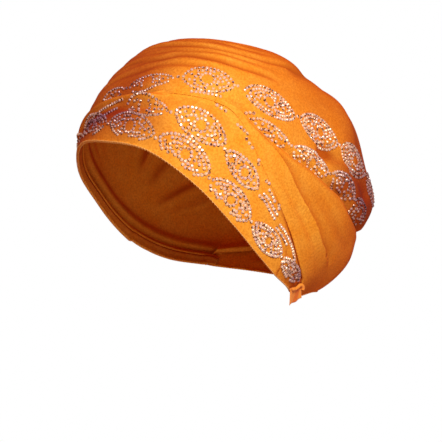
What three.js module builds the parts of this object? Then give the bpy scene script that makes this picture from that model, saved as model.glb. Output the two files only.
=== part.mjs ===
// A pre-tied head wrap: a gathered crown with a low bag at the back, a wide band round the forehead, a plain
// drape that sweeps from the left temple over the ear and round the nape, rolled hems, a satin tie behind
// the left ear, and chains of eye-shaped crystal motifs on the band and the crown.
// Millimetres, +Z up. The wearer looks along -Y and has +X on the left. The origin is the middle of the head
// opening. Cloth is laid out by two angles round the origin: turn, from the middle of the forehead towards
// the wearer's left, and rise, above a plane that tips up at the forehead as the hem does.
import * as THREE from "three";
import { mergeVertices } from "three/addons/utils/BufferGeometryUtils.js";

// Driving dimensions
const frontReach = 107; // origin to the wrap over the forehead hem
const topReach = 113; // origin to the crown behind the top of the head
const backReach = 119; // origin to the bag over the back of the head
const napeReach = 108; // origin to the drape at the nape
const sideReach = 85.5; // origin to either side, over the ears
const fullness = 2.3; // 2 is an ellipse, more is squarer
const hemTilt = 36; // degrees that the hem tips up at the forehead
const cloth = 1.6; // wall of doubled jersey
const layerGap = 0.6; // air between two layers of cloth
const edgeRound = 1.2; // how far a folded edge rolls in
const lipRoll = 1; // how far the band's upper fold stands out
const gatherDepth = 2.4; // depth of a gather in the crown
const creaseDepth = 3; // depth of the long crease in the drape
const bagOverhang = 3.5; // how far the bag stands out over the drape
const hemWidth = 3; // across a rolled hem
const hemThickness = 2.2;
const crystalRise = 1.1; // height of the crystals over the cloth
const crystalGap = 0.6; // glue and nap under them
const motifHeight = 20; // across one eye of crystals
const pupilRadius = 3.6; // bare cloth in the middle of an eye
const linkWidth = 3; // the crystal that joins two eyes
const tieWidth = 10.8; // satin ribbon of the tie, along the head
const tieFront = -1.5; // where its front edge hangs, ahead of or behind the origin
const tieTop = -49; // height of its upper edge
const tieLength = 12.5; // down its front edge
const tieSlant = 2.5; // how much shorter the back edge is
const tieFold = 1.6; // how deep it is folded along its middle
const tieThickness = 1.1;
const rollRadius = 1.2; // curled edge of satin at the tie

// The profile in the plane that halves the head, from the chin side round the forehead and the top to the
// nape. Each reach is a share of the size beside it.
const profile = [
  { angle: -60, of: frontReach, reach: 0.87 },
  { angle: -30, of: frontReach, reach: 0.92 },
  { angle: 0, of: frontReach, reach: 1.0 },
  { angle: 20, of: frontReach, reach: 1.08 },
  { angle: 45, of: topReach, reach: 1.07 },
  { angle: 70, of: topReach, reach: 1.01 },
  { angle: 95, of: topReach, reach: 1.0 },
  { angle: 120, of: backReach, reach: 1.01 },
  { angle: 140, of: backReach, reach: 1.02 },
  { angle: 155, of: backReach, reach: 1.01 },
  { angle: 168, of: napeReach, reach: 1.04 },
  { angle: 180, of: napeReach, reach: 1.0 },
  { angle: 200, of: napeReach, reach: 0.88 },
  { angle: 240, of: napeReach, reach: 0.76 },
];

// Where the cloth stands fuller than the profile, or closer to the head: the middle, the spread in degrees
// and the height
const fullerAt = [
  { turn: 62, rise: 73, spread: 13, height: 3.4 },
  { turn: 133, rise: 59, spread: 15, height: 3.6 },
  { turn: 122, rise: 70, spread: 7, height: -2.6 },
  { turn: 147, rise: 0, spread: 11, height: 4 },
  { turn: 149, rise: 24, spread: 9, height: 3.2 },
  { turn: -46, rise: -13, spread: 11, height: 2.6 },
  { turn: 147, rise: -13, spread: 8, height: 2.2 },
];

// Where the hem hangs lower than hemLine, on one side only
const hemLower = [
  { turn: -20, spread: 17, rise: 1.3 },
  { turn: 122, spread: 9, rise: 2 },
];

// The edge round the face and the nape, the same on both sides
const hemLine = [
  { turn: 0, rise: 0.3 },
  { turn: 20, rise: 0.1 },
  { turn: 40, rise: -5.5 },
  { turn: 60, rise: -14.3 },
  { turn: 80, rise: -22.2 },
  { turn: 100, rise: -26.6 },
  { turn: 120, rise: -25.5 },
  { turn: 140, rise: -19 },
  { turn: 160, rise: -13 },
  { turn: 180, rise: -10 },
];

// The band's upper edge: a narrow binding on the right, wide over the forehead and the left temple
const bandTop = [
  { turn: -140, rise: -10 },
  { turn: -120, rise: -16 },
  { turn: -100, rise: -17.5 },
  { turn: -80, rise: -14 },
  { turn: -60, rise: -6.5 },
  { turn: -40, rise: 1.5 },
  { turn: -20, rise: 10 },
  { turn: 0, rise: 16.6 },
  { turn: 16, rise: 20.2 },
  { turn: 35, rise: 24.6 },
  { turn: 42, rise: 25 },
  { turn: 50, rise: 21.8 },
  { turn: 60, rise: 14.3 },
  { turn: 75, rise: 3.8 },
  { turn: 90, rise: -6 },
  { turn: 105, rise: -15.4 },
  { turn: 120, rise: -22 },
];

// The drape's upper edge
const drapeTop = [
  { turn: 35, rise: 26.4 },
  { turn: 45, rise: 27.2 },
  { turn: 60, rise: 24.6 },
  { turn: 75, rise: 24 },
  { turn: 88, rise: 24.3 },
  { turn: 104, rise: 21.9 },
  { turn: 116, rise: 20 },
  { turn: 128, rise: 15.2 },
  { turn: 150, rise: 11.5 },
  { turn: 180, rise: 11 },
  { turn: 200, rise: 3 },
  { turn: 220, rise: -10 },
];

// Turns where one layer of cloth passes under or over another
const twistStart = 12; // the band's lip turns in under the crown from here
const twistEnd = 20;
const drapeStart = 35;
const bandEnd = 116;
const napeStart = 121; // the drape's lower edge is the hem from here on
const seamTurn = 220; // the drape meets the band's other end behind the right ear
const hemShort = 1; // how far the hems end from that seam
const tuck = 4; // degrees of cloth hidden under an edge
const dip = 2.6; // degrees in which cloth sinks to go under an edge
const sunk = 0.5; // degrees short of an edge where cloth is down at its hidden depth
const handover = 8; // degrees of turn in which an edge changes place
const tuckShare = 0.34; // no more than this share of a narrow layer

// Valleys in the cloth, each a path of [turn, rise]. depth is a share of the size beside it, width is in
// degrees, and a negative depth is a ridge.
const crownFolds = [
  {
    of: gatherDepth,
    depth: 0.9,
    width: 3.6,
    path: [[-64, 2], [-30, 20], [-8, 28], [14, 36.5], [32, 45], [57, 54]],
  },
  {
    of: gatherDepth,
    depth: 0.9,
    width: 3.4,
    path: [[-68, 6], [-42, 25], [-18, 36], [6, 45], [30, 56], [60, 66]],
  },
  { of: gatherDepth, depth: 0.8, width: 4, path: [[-76, 8], [-58, 33], [-36, 51], [-5, 65], [40, 77]] },
  { of: gatherDepth, depth: 0.6, width: 5, path: [[58, 60], [80, 67], [98, 71.5], [125, 74], [160, 74]] },
  { of: gatherDepth, depth: 0.7, width: 3.6, path: [[88, 33.5], [98, 34.3], [109, 34.6], [121, 34]] },
  { of: gatherDepth, depth: 0.8, width: 3.4, path: [[114, 31.5], [123, 30.4], [130, 27.8], [138, 22.5]] },
  { of: gatherDepth, depth: 0.9, width: 5, path: [[-84, 2], [-80, 34], [-66, 58], [-20, 76]] },
  { of: gatherDepth, depth: 0.9, width: 5, path: [[-92, 0], [-100, 24], [-118, 44], [-150, 58]] },
  { of: gatherDepth, depth: 0.7, width: 5, path: [[-100, -6], [-116, 12], [-136, 28], [-160, 38]] },
  { of: gatherDepth, depth: 0.9, width: 6, path: [[150, 52], [170, 42], [190, 34], [205, 20]] },
  { of: bagOverhang, depth: -1, width: 11, path: [[96, 34], [120, 30], [150, 24], [180, 22], [200, 17]] },
];
const drapeFolds = [
  {
    of: creaseDepth,
    depth: 1,
    width: 2.8,
    path: [[52, 25], [68, 21.5], [76, 17], [88, 10], [104, 2], [118, -4.5], [132, -10]],
  },
  { of: creaseDepth, depth: 0.5, width: 3, path: [[150, 4], [172, -1], [186, -4], [206, -8]] },
];

// Crystal motifs: the middle of each eye in a row, and its height as a share of motifHeight
const crystalRows = [
  {
    name: "crystals_band_lower",
    eyes: [
      { turn: -34, rise: 1.2, height: 0.34 },
      { turn: -13.5, rise: 6.6, height: 0.78 },
      { turn: 9.5, rise: 6.8, height: 0.84 },
      { turn: 33, rise: 3.6, height: 1 },
      { turn: 55.5, rise: -5.2, height: 1 },
      { turn: 79, rise: -14, height: 0.85 },
      { turn: 100, rise: -20.3, height: 0.5 },
    ],
  },
  {
    name: "crystals_band_upper",
    eyes: [
      { turn: 11.5, rise: 14.9, height: 0.6 },
      { turn: 34.5, rise: 14.8, height: 0.95 },
      { turn: 56, rise: 6.4, height: 0.75 },
    ],
  },
  {
    name: "crystals_crown",
    eyes: [
      { turn: 9.5, rise: 25, height: 0.5 },
      { turn: 29.5, rise: 32.8, height: 0.84 },
      { turn: 56, rise: 38.2, height: 1 },
      { turn: 90, rise: 41, height: 1.1 },
      { turn: 121, rise: 36.5, height: 1 },
      { turn: 145, rise: 28.5, height: 0.9 },
    ],
  },
];

const smooth = THREE.MathUtils.smoothstep;
const lerp = THREE.MathUtils.lerp;
const radians = THREE.MathUtils.degToRad;
const degrees = THREE.MathUtils.radToDeg;

// A smooth curve through one column of a table
function along(table, key, at, column) {
  const last = table.length - 1;
  let i = 0;
  while (i < last - 1 && table[i + 1][key] < at) i++;
  const slope = (k) => {
    const before = table[Math.max(k - 1, 0)];
    const after = table[Math.min(k + 1, last)];
    return (column(after) - column(before)) / (after[key] - before[key]);
  };
  const span = table[i + 1][key] - table[i][key];
  const t = THREE.MathUtils.clamp((at - table[i][key]) / span, 0, 1);
  const ends = lerp(column(table[i]), column(table[i + 1]), t * t * (3 - 2 * t));
  return ends + span * t * (1 - t) * ((1 - t) * slope(i) - t * slope(i + 1));
}

const riseIn = (table) => (turn) => along(table, "turn", turn, (row) => row.rise);
const halfTurn = 180;
const bell = (distance, spread) => Math.exp(-((distance / spread) ** 2));
const hemDrop = (turn) => hemLower.reduce((sum, at) => sum + at.rise * bell(turn - at.turn, at.spread), 0);
const mirrored = (turn) => halfTurn - Math.abs(halfTurn - Math.abs(turn));
const hemRise = (turn) => riseIn(hemLine)(mirrored(turn)) - hemDrop(turn);
const bandRise = riseIn(bandTop);
const drapeRise = riseIn(drapeTop);

function directionAt(turn, rise) {
  const flat = Math.cos(radians(rise));
  return new THREE.Vector3(
    flat * Math.sin(radians(turn)),
    -flat * Math.cos(radians(turn)),
    Math.sin(radians(rise)),
  );
}

const fuller = fullerAt.map((at) => ({ ...at, middle: directionAt(at.turn, at.rise) }));

// Distance from the origin to the smooth form that every layer follows
function formRadius(direction) {
  const angle = degrees(Math.atan2(direction.z, -direction.y));
  const upward = angle < -100 ? angle + 2 * halfTurn : angle;
  const middle = along(profile, "angle", upward, (row) => row.of * row.reach);
  const side = Math.abs(direction.x);
  const level = Math.sqrt(1 - Math.min(side, 1) ** 2);
  const round = ((level / middle) ** fullness + (side / sideReach) ** fullness) ** (-1 / fullness);
  const away = (at) => degrees(direction.distanceTo(at.middle));
  return fuller.reduce((sum, at) => sum + at.height * bell(away(at), at.spread), round);
}

// The point that stands a given distance off the form
function pointOff(direction, off) {
  return direction
    .clone()
    .multiplyScalar(formRadius(direction) + off)
    .applyAxisAngle(new THREE.Vector3(1, 0, 0), -radians(hemTilt));
}

const asAngle = (length, turn, rise) => degrees(length / formRadius(directionAt(turn, rise)));

// Ready the folds' paths as short segments on the unit sphere
function foldLines(folds) {
  const steps = 24;
  return folds.map((fold) => {
    const curve = new THREE.CatmullRomCurve3(fold.path.map(([turn, rise]) => directionAt(turn, rise)));
    const points = curve.getPoints(steps).map((point) => point.normalize());
    return { ...fold, points };
  });
}

// How far the folds move the cloth at a direction
function foldOffset(lines, direction) {
  const nearest = new THREE.Vector3();
  const line = new THREE.Line3();
  const fadeShare = 0.16;
  let off = 0;
  for (const { of, depth, width, points } of lines) {
    let best = { away: Infinity, share: 0 };
    for (let i = 0; i < points.length - 1; i++) {
      line.set(points[i], points[i + 1]);
      line.closestPointToPoint(direction, true, nearest);
      const away = nearest.distanceTo(direction);
      if (away < best.away) best = { away, share: (i + 0.5) / (points.length - 1) };
    }
    const fade = smooth(Math.min(best.share, 1 - best.share), 0, fadeShare);
    off -= of * depth * fade * bell(degrees(best.away), width);
  }
  return off;
}

const crownLines = foldLines(crownFolds);
const drapeLines = foldLines(drapeFolds);
const hiddenDepth = edgeRound + cloth + layerGap; // how deep a layer lies under the one that covers it

// How far each layer hides under the next, in degrees, where the drape between them is narrow
const drapeHeight = (turn) => drapeRise(turn) - bandRise(turn);
const tuckUnderDrape = (turn) => Math.min(tuck, tuckShare * drapeHeight(Math.max(turn, drapeStart)));
const hemTop = (turn) => hemRise(turn) + asAngle(hemWidth + layerGap, turn, hemRise(turn));

// The crown's lower edge hides under the band on the right, lies over it from the twist to the drape, and
// then hides under the drape
const twist = (turn) => smooth(turn, twistStart, twistEnd);
const onDrapeSide = (turn) => smooth(turn, drapeStart - handover, drapeStart);
const crownOver = (turn) => twist(turn) - onDrapeSide(turn);
const crownCover = (turn) => lerp(bandRise(turn), drapeRise(Math.max(turn, drapeStart)), onDrapeSide(turn));
function crownEdge(turn) {
  const underBand = tuck * (1 - smooth(turn, twistStart - handover, twistStart));
  const clearOfBand = asAngle(layerGap, turn, 0) * (crownOver(turn) - underBand / tuck);
  return crownCover(turn) - underBand - tuckUnderDrape(turn) * onDrapeSide(turn) + clearOfBand;
}
function crownOffset(turn, rise) {
  const above = rise - crownCover(turn);
  const seen = lerp(smooth(above, sunk, sunk + dip), 1, crownOver(turn));
  const underCrease = creaseDepth * smooth(-above, 0, tuck) * onDrapeSide(turn);
  return foldOffset(crownLines, directionAt(turn, rise)) * seen - hiddenDepth * (1 - seen) - underCrease;
}

// The band lies over the crown up to the twist, then under the crown and the drape
const drapeEdge = (turn) => lerp(bandRise(turn), hemTop(turn), smooth(turn, bandEnd, napeStart));
function bandEdge(turn) {
  const underCrown = 0.5 * tuck * smooth(turn, twistEnd, twistEnd + handover);
  return bandRise(turn) + lerp(underCrown, tuckUnderDrape(turn), onDrapeSide(turn));
}
function bandOffset(turn, rise) {
  const lipWidth = 1.5;
  const below = drapeEdge(turn) - rise;
  const lip = lipRoll * Math.exp(-((below / lipWidth - 1) ** 2)) * (1 - twist(turn));
  return lip - hiddenDepth * (1 - smooth(below, sunk, sunk + dip)) * twist(turn);
}

// The drape lies over both and rolls in at its edges
function drapeOffset(turn, rise) {
  const toEdge = Math.min(rise - drapeEdge(turn), drapeRise(turn) - rise);
  const creases = foldOffset(drapeLines, directionAt(turn, rise)) * smooth(toEdge, 0, tuck);
  return creases - edgeRound * (1 - smooth(toEdge, 0, dip));
}

// A closed body from points and triangles
function body(points, triangles) {
  const loose = new THREE.BufferGeometry().setFromPoints(points);
  loose.setIndex(triangles.flat());
  const merged = mergeVertices(loose);
  const kept = [];
  for (let i = 0; i < merged.index.count; i += 3) {
    const [a, b, c] = [0, 1, 2].map((k) => merged.index.getX(i + k));
    if (a !== b && b !== c && c !== a) kept.push(a, b, c);
  }
  merged.setIndex(kept);
  merged.computeVertexNormals();
  return merged;
}

// A sheet of cloth: columns at each turn, rows at shares of the way from its lower to its upper edge, with
// an outer and an inner face. It closes on itself if closed is true, or else its two ends are capped.
function sheet({ turns, rows, lower, upper, outer, inner, closed = false }) {
  const points = [];
  const count = rows.length;
  for (const turn of turns) {
    const place = (share, off) => {
      const rise = lerp(lower(turn), upper(turn), share);
      points.push(pointOff(directionAt(turn, rise), off(turn, rise, share)));
    };
    rows.forEach((share) => place(share, outer));
    [...rows].reverse().forEach((share) => place(share, inner));
  }
  const ring = 2 * count;
  const triangles = [];
  const spans = closed ? turns.length : turns.length - 1;
  for (let j = 0; j < spans; j++) {
    const here = j * ring;
    const next = ((j + 1) % turns.length) * ring;
    for (let k = 0; k < ring; k++) {
      const up = (k + 1) % ring;
      triangles.push([here + k, next + k, next + up], [here + k, next + up, here + up]);
    }
  }
  if (!closed) {
    const end = (turns.length - 1) * ring;
    for (let i = 0; i < count - 1; i++) {
      const [a, b, c, d] = [i, i + 1, ring - 2 - i, ring - 1 - i];
      triangles.push([a, b, c], [a, c, d], [end + a, end + c, end + b], [end + a, end + d, end + c]);
    }
  }
  return body(points, triangles);
}

// Both faces of a wall of cloth, thinned where it rolls over at its first and last row
function walls(offset, thickness) {
  const thin = (share) => (share === 0 || share === 1 ? 0.25 * thickness : 0);
  return {
    outer: (turn, rise, share) => offset(turn, rise) - thin(share),
    inner: (turn, rise, share) => offset(turn, rise) - thickness + thin(share),
  };
}

function evenly(from, to, spans) {
  return Array.from({ length: spans + 1 }, (_, i) => lerp(from, to, i / spans));
}

const rollRows = [0, 0.2, 0.5, 0.8, 1];
function hem(from, to, spans) {
  const roll = (turn, rise, share) => 0.5 * hemThickness * Math.sqrt(1 - 0.84 * (2 * share - 1) ** 2);
  return sheet({
    turns: evenly(from, to, spans),
    rows: rollRows,
    lower: hemRise,
    upper: (turn) => hemRise(turn) + asAngle(hemWidth, turn, hemRise(turn)),
    outer: (turn, rise, share) => roll(turn, rise, share) - 0.5 * cloth,
    inner: (turn, rise, share) => -roll(turn, rise, share) - 0.5 * cloth,
  });
}

function crown() {
  const seam = seamTurn - 2 * halfTurn;
  const turns = [
    ...evenly(seam, twistStart - handover, 24),
    ...evenly(twistStart - handover, drapeStart + handover, 12).slice(1),
    ...evenly(drapeStart + handover, seamTurn, 28).slice(1, -1),
  ];
  return sheet({
    turns,
    rows: [0, 0.03, 0.06, 0.1, 0.15, 0.23, 0.32, 0.42, 0.52, 0.62, 0.73, 0.86, 1],
    lower: crownEdge,
    upper: () => 90,
    ...poleWalls(),
    closed: true,
  });
}

// The crown's two faces, with no rolled edge where they close over the pole
function poleWalls() {
  const { outer, inner } = walls(crownOffset, cloth);
  return {
    outer: (turn, rise, share) => outer(turn, rise, Math.min(share, 0.99)),
    inner: (turn, rise, share) => inner(turn, rise, Math.min(share, 0.99)),
  };
}

function frontBand() {
  const start = seamTurn - 2 * halfTurn + asAngle(layerGap, 0, 0);
  const turns = [
    ...evenly(start, twistStart - handover, 26),
    ...evenly(twistStart - handover, drapeStart, 9).slice(1),
    ...evenly(drapeStart, bandEnd, 20).slice(1),
  ];
  return sheet({
    turns,
    rows: [0, 0.2, 0.4, 0.58, 0.7, 0.8, 0.88, 0.95, 1],
    lower: hemTop,
    upper: bandEdge,
    ...walls(bandOffset, cloth),
  });
}

function sideDrape() {
  const end = seamTurn - asAngle(layerGap, 0, 0);
  const widened = drapeStart + 2 * handover;
  const turns = [...evenly(drapeStart, widened, 6), ...evenly(widened, end, 34).slice(1)];
  return sheet({
    turns,
    rows: [0, 0.05, 0.13, 0.22, 0.3, 0.38, 0.46, 0.54, 0.62, 0.7, 0.78, 0.87, 0.95, 1],
    lower: drapeEdge,
    upper: drapeRise,
    ...walls(drapeOffset, cloth),
  });
}

// The point off the wearer's left side of the form at a given place ahead and height
function besideForm(y, z, off) {
  const tilt = new THREE.Vector3(1, 0, 0);
  let x = sideReach;
  for (let i = 0; i < 12; i++) {
    const direction = new THREE.Vector3(x, y, z).applyAxisAngle(tilt, radians(hemTilt)).normalize();
    x = Math.sqrt((formRadius(direction) + off) ** 2 - y * y - z * z);
  }
  return new THREE.Vector3(x, y, z);
}

// The middle of the satin: across from its front edge to its back edge, down from its upper edge
function satinAt(across, down) {
  const clear = layerGap + 0.5 * tieThickness;
  const point = besideForm(tieFront + tieWidth * across, tieTop, clear);
  const folded = Math.abs(across - lerp(0.8, 0.4, down));
  point.x += tieFold * (folded - down);
  point.z -= down * (tieLength - tieSlant * across);
  return point;
}

// The satin end hangs straight down outside the band's end, folded along its middle and lower at the front
function tieEnd() {
  const steps = 8;
  const shares = evenly(0, 1, steps);
  const half = 0.5 * tieThickness;
  const points = [];
  const triangles = [];
  const outward = new THREE.Vector3(1, 0, 0);
  for (const across of shares) {
    const onFace = (side) => (down) =>
      points.push(satinAt(across, down).addScaledVector(outward, side * half));
    [...shares].reverse().forEach(onFace(1));
    shares.forEach(onFace(-1));
  }
  const ring = 2 * shares.length;
  for (let j = 0; j < steps; j++) {
    for (let k = 0; k < ring; k++) {
      const [a, b] = [j * ring + k, j * ring + ((k + 1) % ring)];
      triangles.push([a, a + ring, b + ring], [a, b + ring, b]);
    }
  }
  const end = steps * ring;
  for (let i = 0; i < steps; i++) {
    const [a, b, c, d] = [i, i + 1, ring - 2 - i, ring - 1 - i];
    triangles.push([a, b, c], [a, c, d], [end + a, end + c, end + b], [end + a, end + d, end + c]);
  }
  return body(points, triangles);
}

// The curled rim of the satin, along its upper edge and over its back corner
function tieLoop() {
  const proud = 0.5 * tieThickness + 0.5 * layerGap + rollRadius;
  const route = [
    { across: 0.3, down: 0.2 },
    { across: 0.52, down: 0.03 },
    { across: 0.8, down: -0.02 },
    { across: 1, down: 0.06 },
    { across: 1.08, down: 0.24 },
  ];
  const points = route.map(({ across, down }) => satinAt(across, down).add(new THREE.Vector3(proud, 0, 0)));
  const circle = new THREE.EllipseCurve(0, 0, rollRadius, rollRadius).getPoints(8).slice(1);
  const rolled = new THREE.ExtrudeGeometry(new THREE.Shape(circle), {
    extrudePath: new THREE.CatmullRomCurve3(points),
    steps: 10,
    curveSegments: 1,
  });
  rolled.deleteAttribute("uv");
  rolled.deleteAttribute("normal");
  return mergeVertices(rolled);
}

// One row of crystal eyes, each a pointed oval plate round a bare pupil, joined tip to tip by links
function crystals(eyes, onCrown) {
  const cover = onCrown ? crownOffset : bandOffset;
  const middles = eyes.map(({ turn, rise }) => directionAt(turn, rise).multiplyScalar(frontReach));
  const place = (point, off) => {
    const direction = point.clone().normalize();
    const turn = degrees(Math.atan2(direction.x, -direction.y));
    return pointOff(direction, cover(turn, degrees(Math.asin(direction.z))) + crystalGap + off);
  };
  const points = [];
  const triangles = [];
  const side = 7;
  const rim = 2 * (side + 1);
  const tip = 0.5 * linkWidth;
  const loops = [1, 0.45, 0]; // shares of the way from the pupil to the outline
  middles.forEach((middle, index) => {
    const before = middles[Math.max(index - 1, 0)];
    const after = middles[Math.min(index + 1, middles.length - 1)];
    const normal = middle.clone().normalize();
    const ahead = after.clone().sub(before).projectOnPlane(normal).normalize();
    const up = new THREE.Vector3().crossVectors(normal, ahead);
    const half = 0.5 * motifHeight * eyes[index].height;
    const pupil = Math.min(pupilRadius, 0.75 * half);
    const whole = before.distanceTo(after);
    const spacing = (other) => (other === middle ? 0.8 * whole : other.distanceTo(middle));
    const reach = (other) => 0.45 * spacing(other);
    for (let k = 0; k < rim; k++) {
      const t = k <= side ? k / side : (rim - 1 - k) / side;
      const swing = Math.cos(Math.PI * t);
      const x = swing * reach(swing > 0 ? after : before);
      const height = tip + (half - tip) * Math.sin(Math.PI * t) ** 1.15;
      const y = k <= side ? height : -height;
      for (const loop of loops) {
        const size = lerp(pupil / Math.hypot(x, y), 1, loop);
        const point = middle.clone().addScaledVector(ahead, size * x).addScaledVector(up, size * y);
        points.push(place(point, crystalRise), place(point, 0));
      }
    }
  });
  const corner = (index, k, loop, foot) => 2 * ((index * rim + (k % rim)) * loops.length + loop) + foot;
  const quad = (a, b, c, d) => triangles.push([a, b, c], [a, c, d]);
  const pupilLoop = loops.length - 1;
  middles.forEach((_, index) => {
    for (let k = 0; k < rim; k++) {
      const at = (step, loop, foot) => corner(index, k + step, loop, foot);
      for (let loop = 0; loop < pupilLoop; loop++) {
        quad(at(0, loop, 0), at(1, loop, 0), at(1, loop + 1, 0), at(0, loop + 1, 0));
        quad(at(0, loop, 1), at(0, loop + 1, 1), at(1, loop + 1, 1), at(1, loop, 1));
      }
      quad(at(0, pupilLoop, 0), at(1, pupilLoop, 0), at(1, pupilLoop, 1), at(0, pupilLoop, 1));
      const linkedAfter = k === rim - 1 && index < middles.length - 1;
      const linkedBefore = k === side && index > 0;
      if (!linkedAfter && !linkedBefore) quad(at(0, 0, 0), at(0, 0, 1), at(1, 0, 1), at(1, 0, 0));
    }
    if (index === middles.length - 1) return;
    const ends = [[index, rim - 1], [index + 1, side + 1], [index + 1, side], [index, 0]];
    const [a, b, c, d] = ends.map(([eye, k]) => corner(eye, k, 0, 0));
    quad(a, b, c, d);
    quad(a + 1, d + 1, c + 1, b + 1);
    quad(a, a + 1, b + 1, b);
    quad(c, c + 1, d + 1, d);
  });
  return body(points, triangles);
}

const jersey = { color: 0xf39a2f, roughness: 0.9, metalness: 0 };
const satin = { color: 0xf7a136, roughness: 0.35, metalness: 0 };
const crystal = { color: 0xd8cbd6, roughness: 0.1, metalness: 0.2 };

const wrap = new THREE.Group();
function addPiece(name, geometry, finish) {
  const piece = new THREE.Mesh(geometry, new THREE.MeshStandardMaterial(finish));
  piece.name = name;
  wrap.add(piece);
}

addPiece("crown", crown(), jersey);
addPiece("front_band", frontBand(), jersey);
addPiece("side_drape", sideDrape(), jersey);
addPiece("band_hem", hem(seamTurn - 2 * halfTurn + hemShort, bandEnd, 54), jersey);
addPiece("nape_hem", hem(napeStart, seamTurn - hemShort, 20), jersey);
addPiece("tie_end", tieEnd(), satin);
addPiece("tie_loop", tieLoop(), satin);
for (const { name, eyes } of crystalRows) {
  addPiece(name, crystals(eyes, name.includes("crown")), crystal);
}

export default wrap;
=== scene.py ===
import math

import bmesh
import bpy
import numpy as np
from mathutils import Matrix


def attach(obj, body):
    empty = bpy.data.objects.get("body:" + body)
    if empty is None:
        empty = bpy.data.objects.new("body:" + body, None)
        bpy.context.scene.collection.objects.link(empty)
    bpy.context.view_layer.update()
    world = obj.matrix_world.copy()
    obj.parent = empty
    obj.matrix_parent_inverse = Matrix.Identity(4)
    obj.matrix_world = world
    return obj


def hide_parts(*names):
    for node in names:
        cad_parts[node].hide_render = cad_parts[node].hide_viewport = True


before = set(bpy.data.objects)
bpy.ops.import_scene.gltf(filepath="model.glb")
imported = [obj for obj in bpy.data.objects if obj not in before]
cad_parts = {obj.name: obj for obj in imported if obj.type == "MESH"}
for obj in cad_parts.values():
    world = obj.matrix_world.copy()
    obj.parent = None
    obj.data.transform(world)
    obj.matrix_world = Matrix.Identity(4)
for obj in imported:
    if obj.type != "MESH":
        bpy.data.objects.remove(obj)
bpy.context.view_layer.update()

mm = 0.001

# Lengths of the head form in millimetres, and the layers that lie on it. Turns and rises are in degrees
wrap = {
    "front": 107.0,
    "top": 113.0,
    "back": 119.0,
    "nape": 108.0,
    "side": 85.5,
    "fullness": 2.3,
    "hemTilt": 36.0,
    "cloth": 1.6,
    "layerGap": 0.6,
    "edgeRound": 1.2,
    "footRound": 0.4,
    "hemWidth": 3.0,
    # Over the middle of the head: angle from the front, the length it goes by and its share
    "profile": [
        (-60, "front", 0.87), (-30, "front", 0.92), (0, "front", 1.0), (20, "front", 1.08),
        (45, "top", 1.07), (70, "top", 1.01), (95, "top", 1.0), (120, "back", 1.01),
        (140, "back", 1.02), (155, "back", 1.01), (168, "nape", 1.04), (180, "nape", 1.0),
        (200, "nape", 0.88), (240, "nape", 0.76),
    ],
    # Lower edge, as turn and rise
    "hemLine": [
        (0, 0.3), (20, 0.1), (40, -5.5), (60, -14.3), (80, -22.2), (100, -26.6), (120, -25.5),
        (140, -19), (160, -13), (180, -10),
    ],
    # Fuller places of the form: turn, rise, spread and height
    "fullerAt": [
        (62, 73, 13, 3.4), (133, 59, 15, 3.6), (122, 70, 7, -2.6), (147, 0, 11, 4.0), (149, 24, 9, 3.2),
        (-46, -13, 11, 2.6), (147, -13, 8, 2.2),
    ],
    "hemLower": [(-20, 17, 1.3), (123, 10, 3.3)],  # turn, spread and degrees lower
    # Upper edges of the band and the drape, as turn and rise
    "bandTop": [
        (-140, -10), (-120, -16), (-100, -17.5), (-80, -14), (-60, -6.5), (-40, 1.5), (-20, 10),
        (0, 16.6), (16, 20.2), (35, 24.6), (42, 25), (50, 21.8), (60, 14.3), (75, 3.8), (90, -6),
        (105, -15.4), (120, -22),
    ],
    "drapeTop": [
        (35, 26.4), (45, 27.2), (60, 24.6), (75, 24), (88, 24.3), (104, 21.9), (116, 20), (128, 15.2),
        (150, 11.5), (180, 11), (200, 3), (220, -10),
    ],
    "twistStart": 12.0,  # where the crown's folds turn under the band
    "twistEnd": 20.0,
    "drapeStart": 35.0,
    "bandEnd": 116.0,
    "napeStart": 121.0,
    "seam": 220.0,
    "tuck": 4.0,  # how far one layer goes under the next
    "tuckShare": 0.34,  # but no more than this share of the cloth above
    "leastTuck": 0.5,
    "dip": 2.6,  # degrees over which an edge comes up to the open cloth
    "lipDip": 4.6,  # the same behind the band's folded rim
    "footDip": 1.56,  # and at the drape's foot
    "edgePower": 1.3,
    "edgeRollFrom": (42, 54),
    "sunk": 0.5,  # degrees above its cover at which the crown starts to come up
    "clearOfHem": 1.5,  # degrees above the hem in which the band's folds begin
    "clearOfEdge": (0, 2),  # and below its upper edge, in which they end
    "underCrease": 3.0,  # how deep the crown's hidden edge lies between its two rims
    "creasePower": 1.5,
    "bandUnder": 2.3,  # how deep the band goes under the drape, and in which degrees below its edge
    "bandDip": (0.1, 1.1),
    "bandDive": (0.3, 0.5),  # depth, and over how much rise, up to the drape
    "bandDiveUnder": (1.9, 3.2),  # the same below the drape
    "bandUnderCrown": (0.6, 2),  # share of the tuck, and how many degrees before the twist it starts
    "bandLap": 0.4,  # the band's end lies this far and its own thickness under the drape's
    "lapLong": 5.0,
    "handover": 8.0,
    "flushUntil": (78, 100),
    "flushLayer": 0.08,  # the share of its thickness that a layer keeps at a flush edge
    "crownThins": 3.0,  # and in how many degrees it has all of it back
    "drapeThins": 3.5,
}


def smooth(x, low, high):
    t = np.clip((np.asarray(x, float) - low) / (high - low), 0, 1)
    return t * t * (3 - 2 * t)


def mix(a, b, t):
    return a + (b - a) * t


def bell(x, spread):
    return np.exp(-((x / spread) ** 2))


def unit(v):
    return v / np.linalg.norm(v, axis=-1, keepdims=True)


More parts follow.
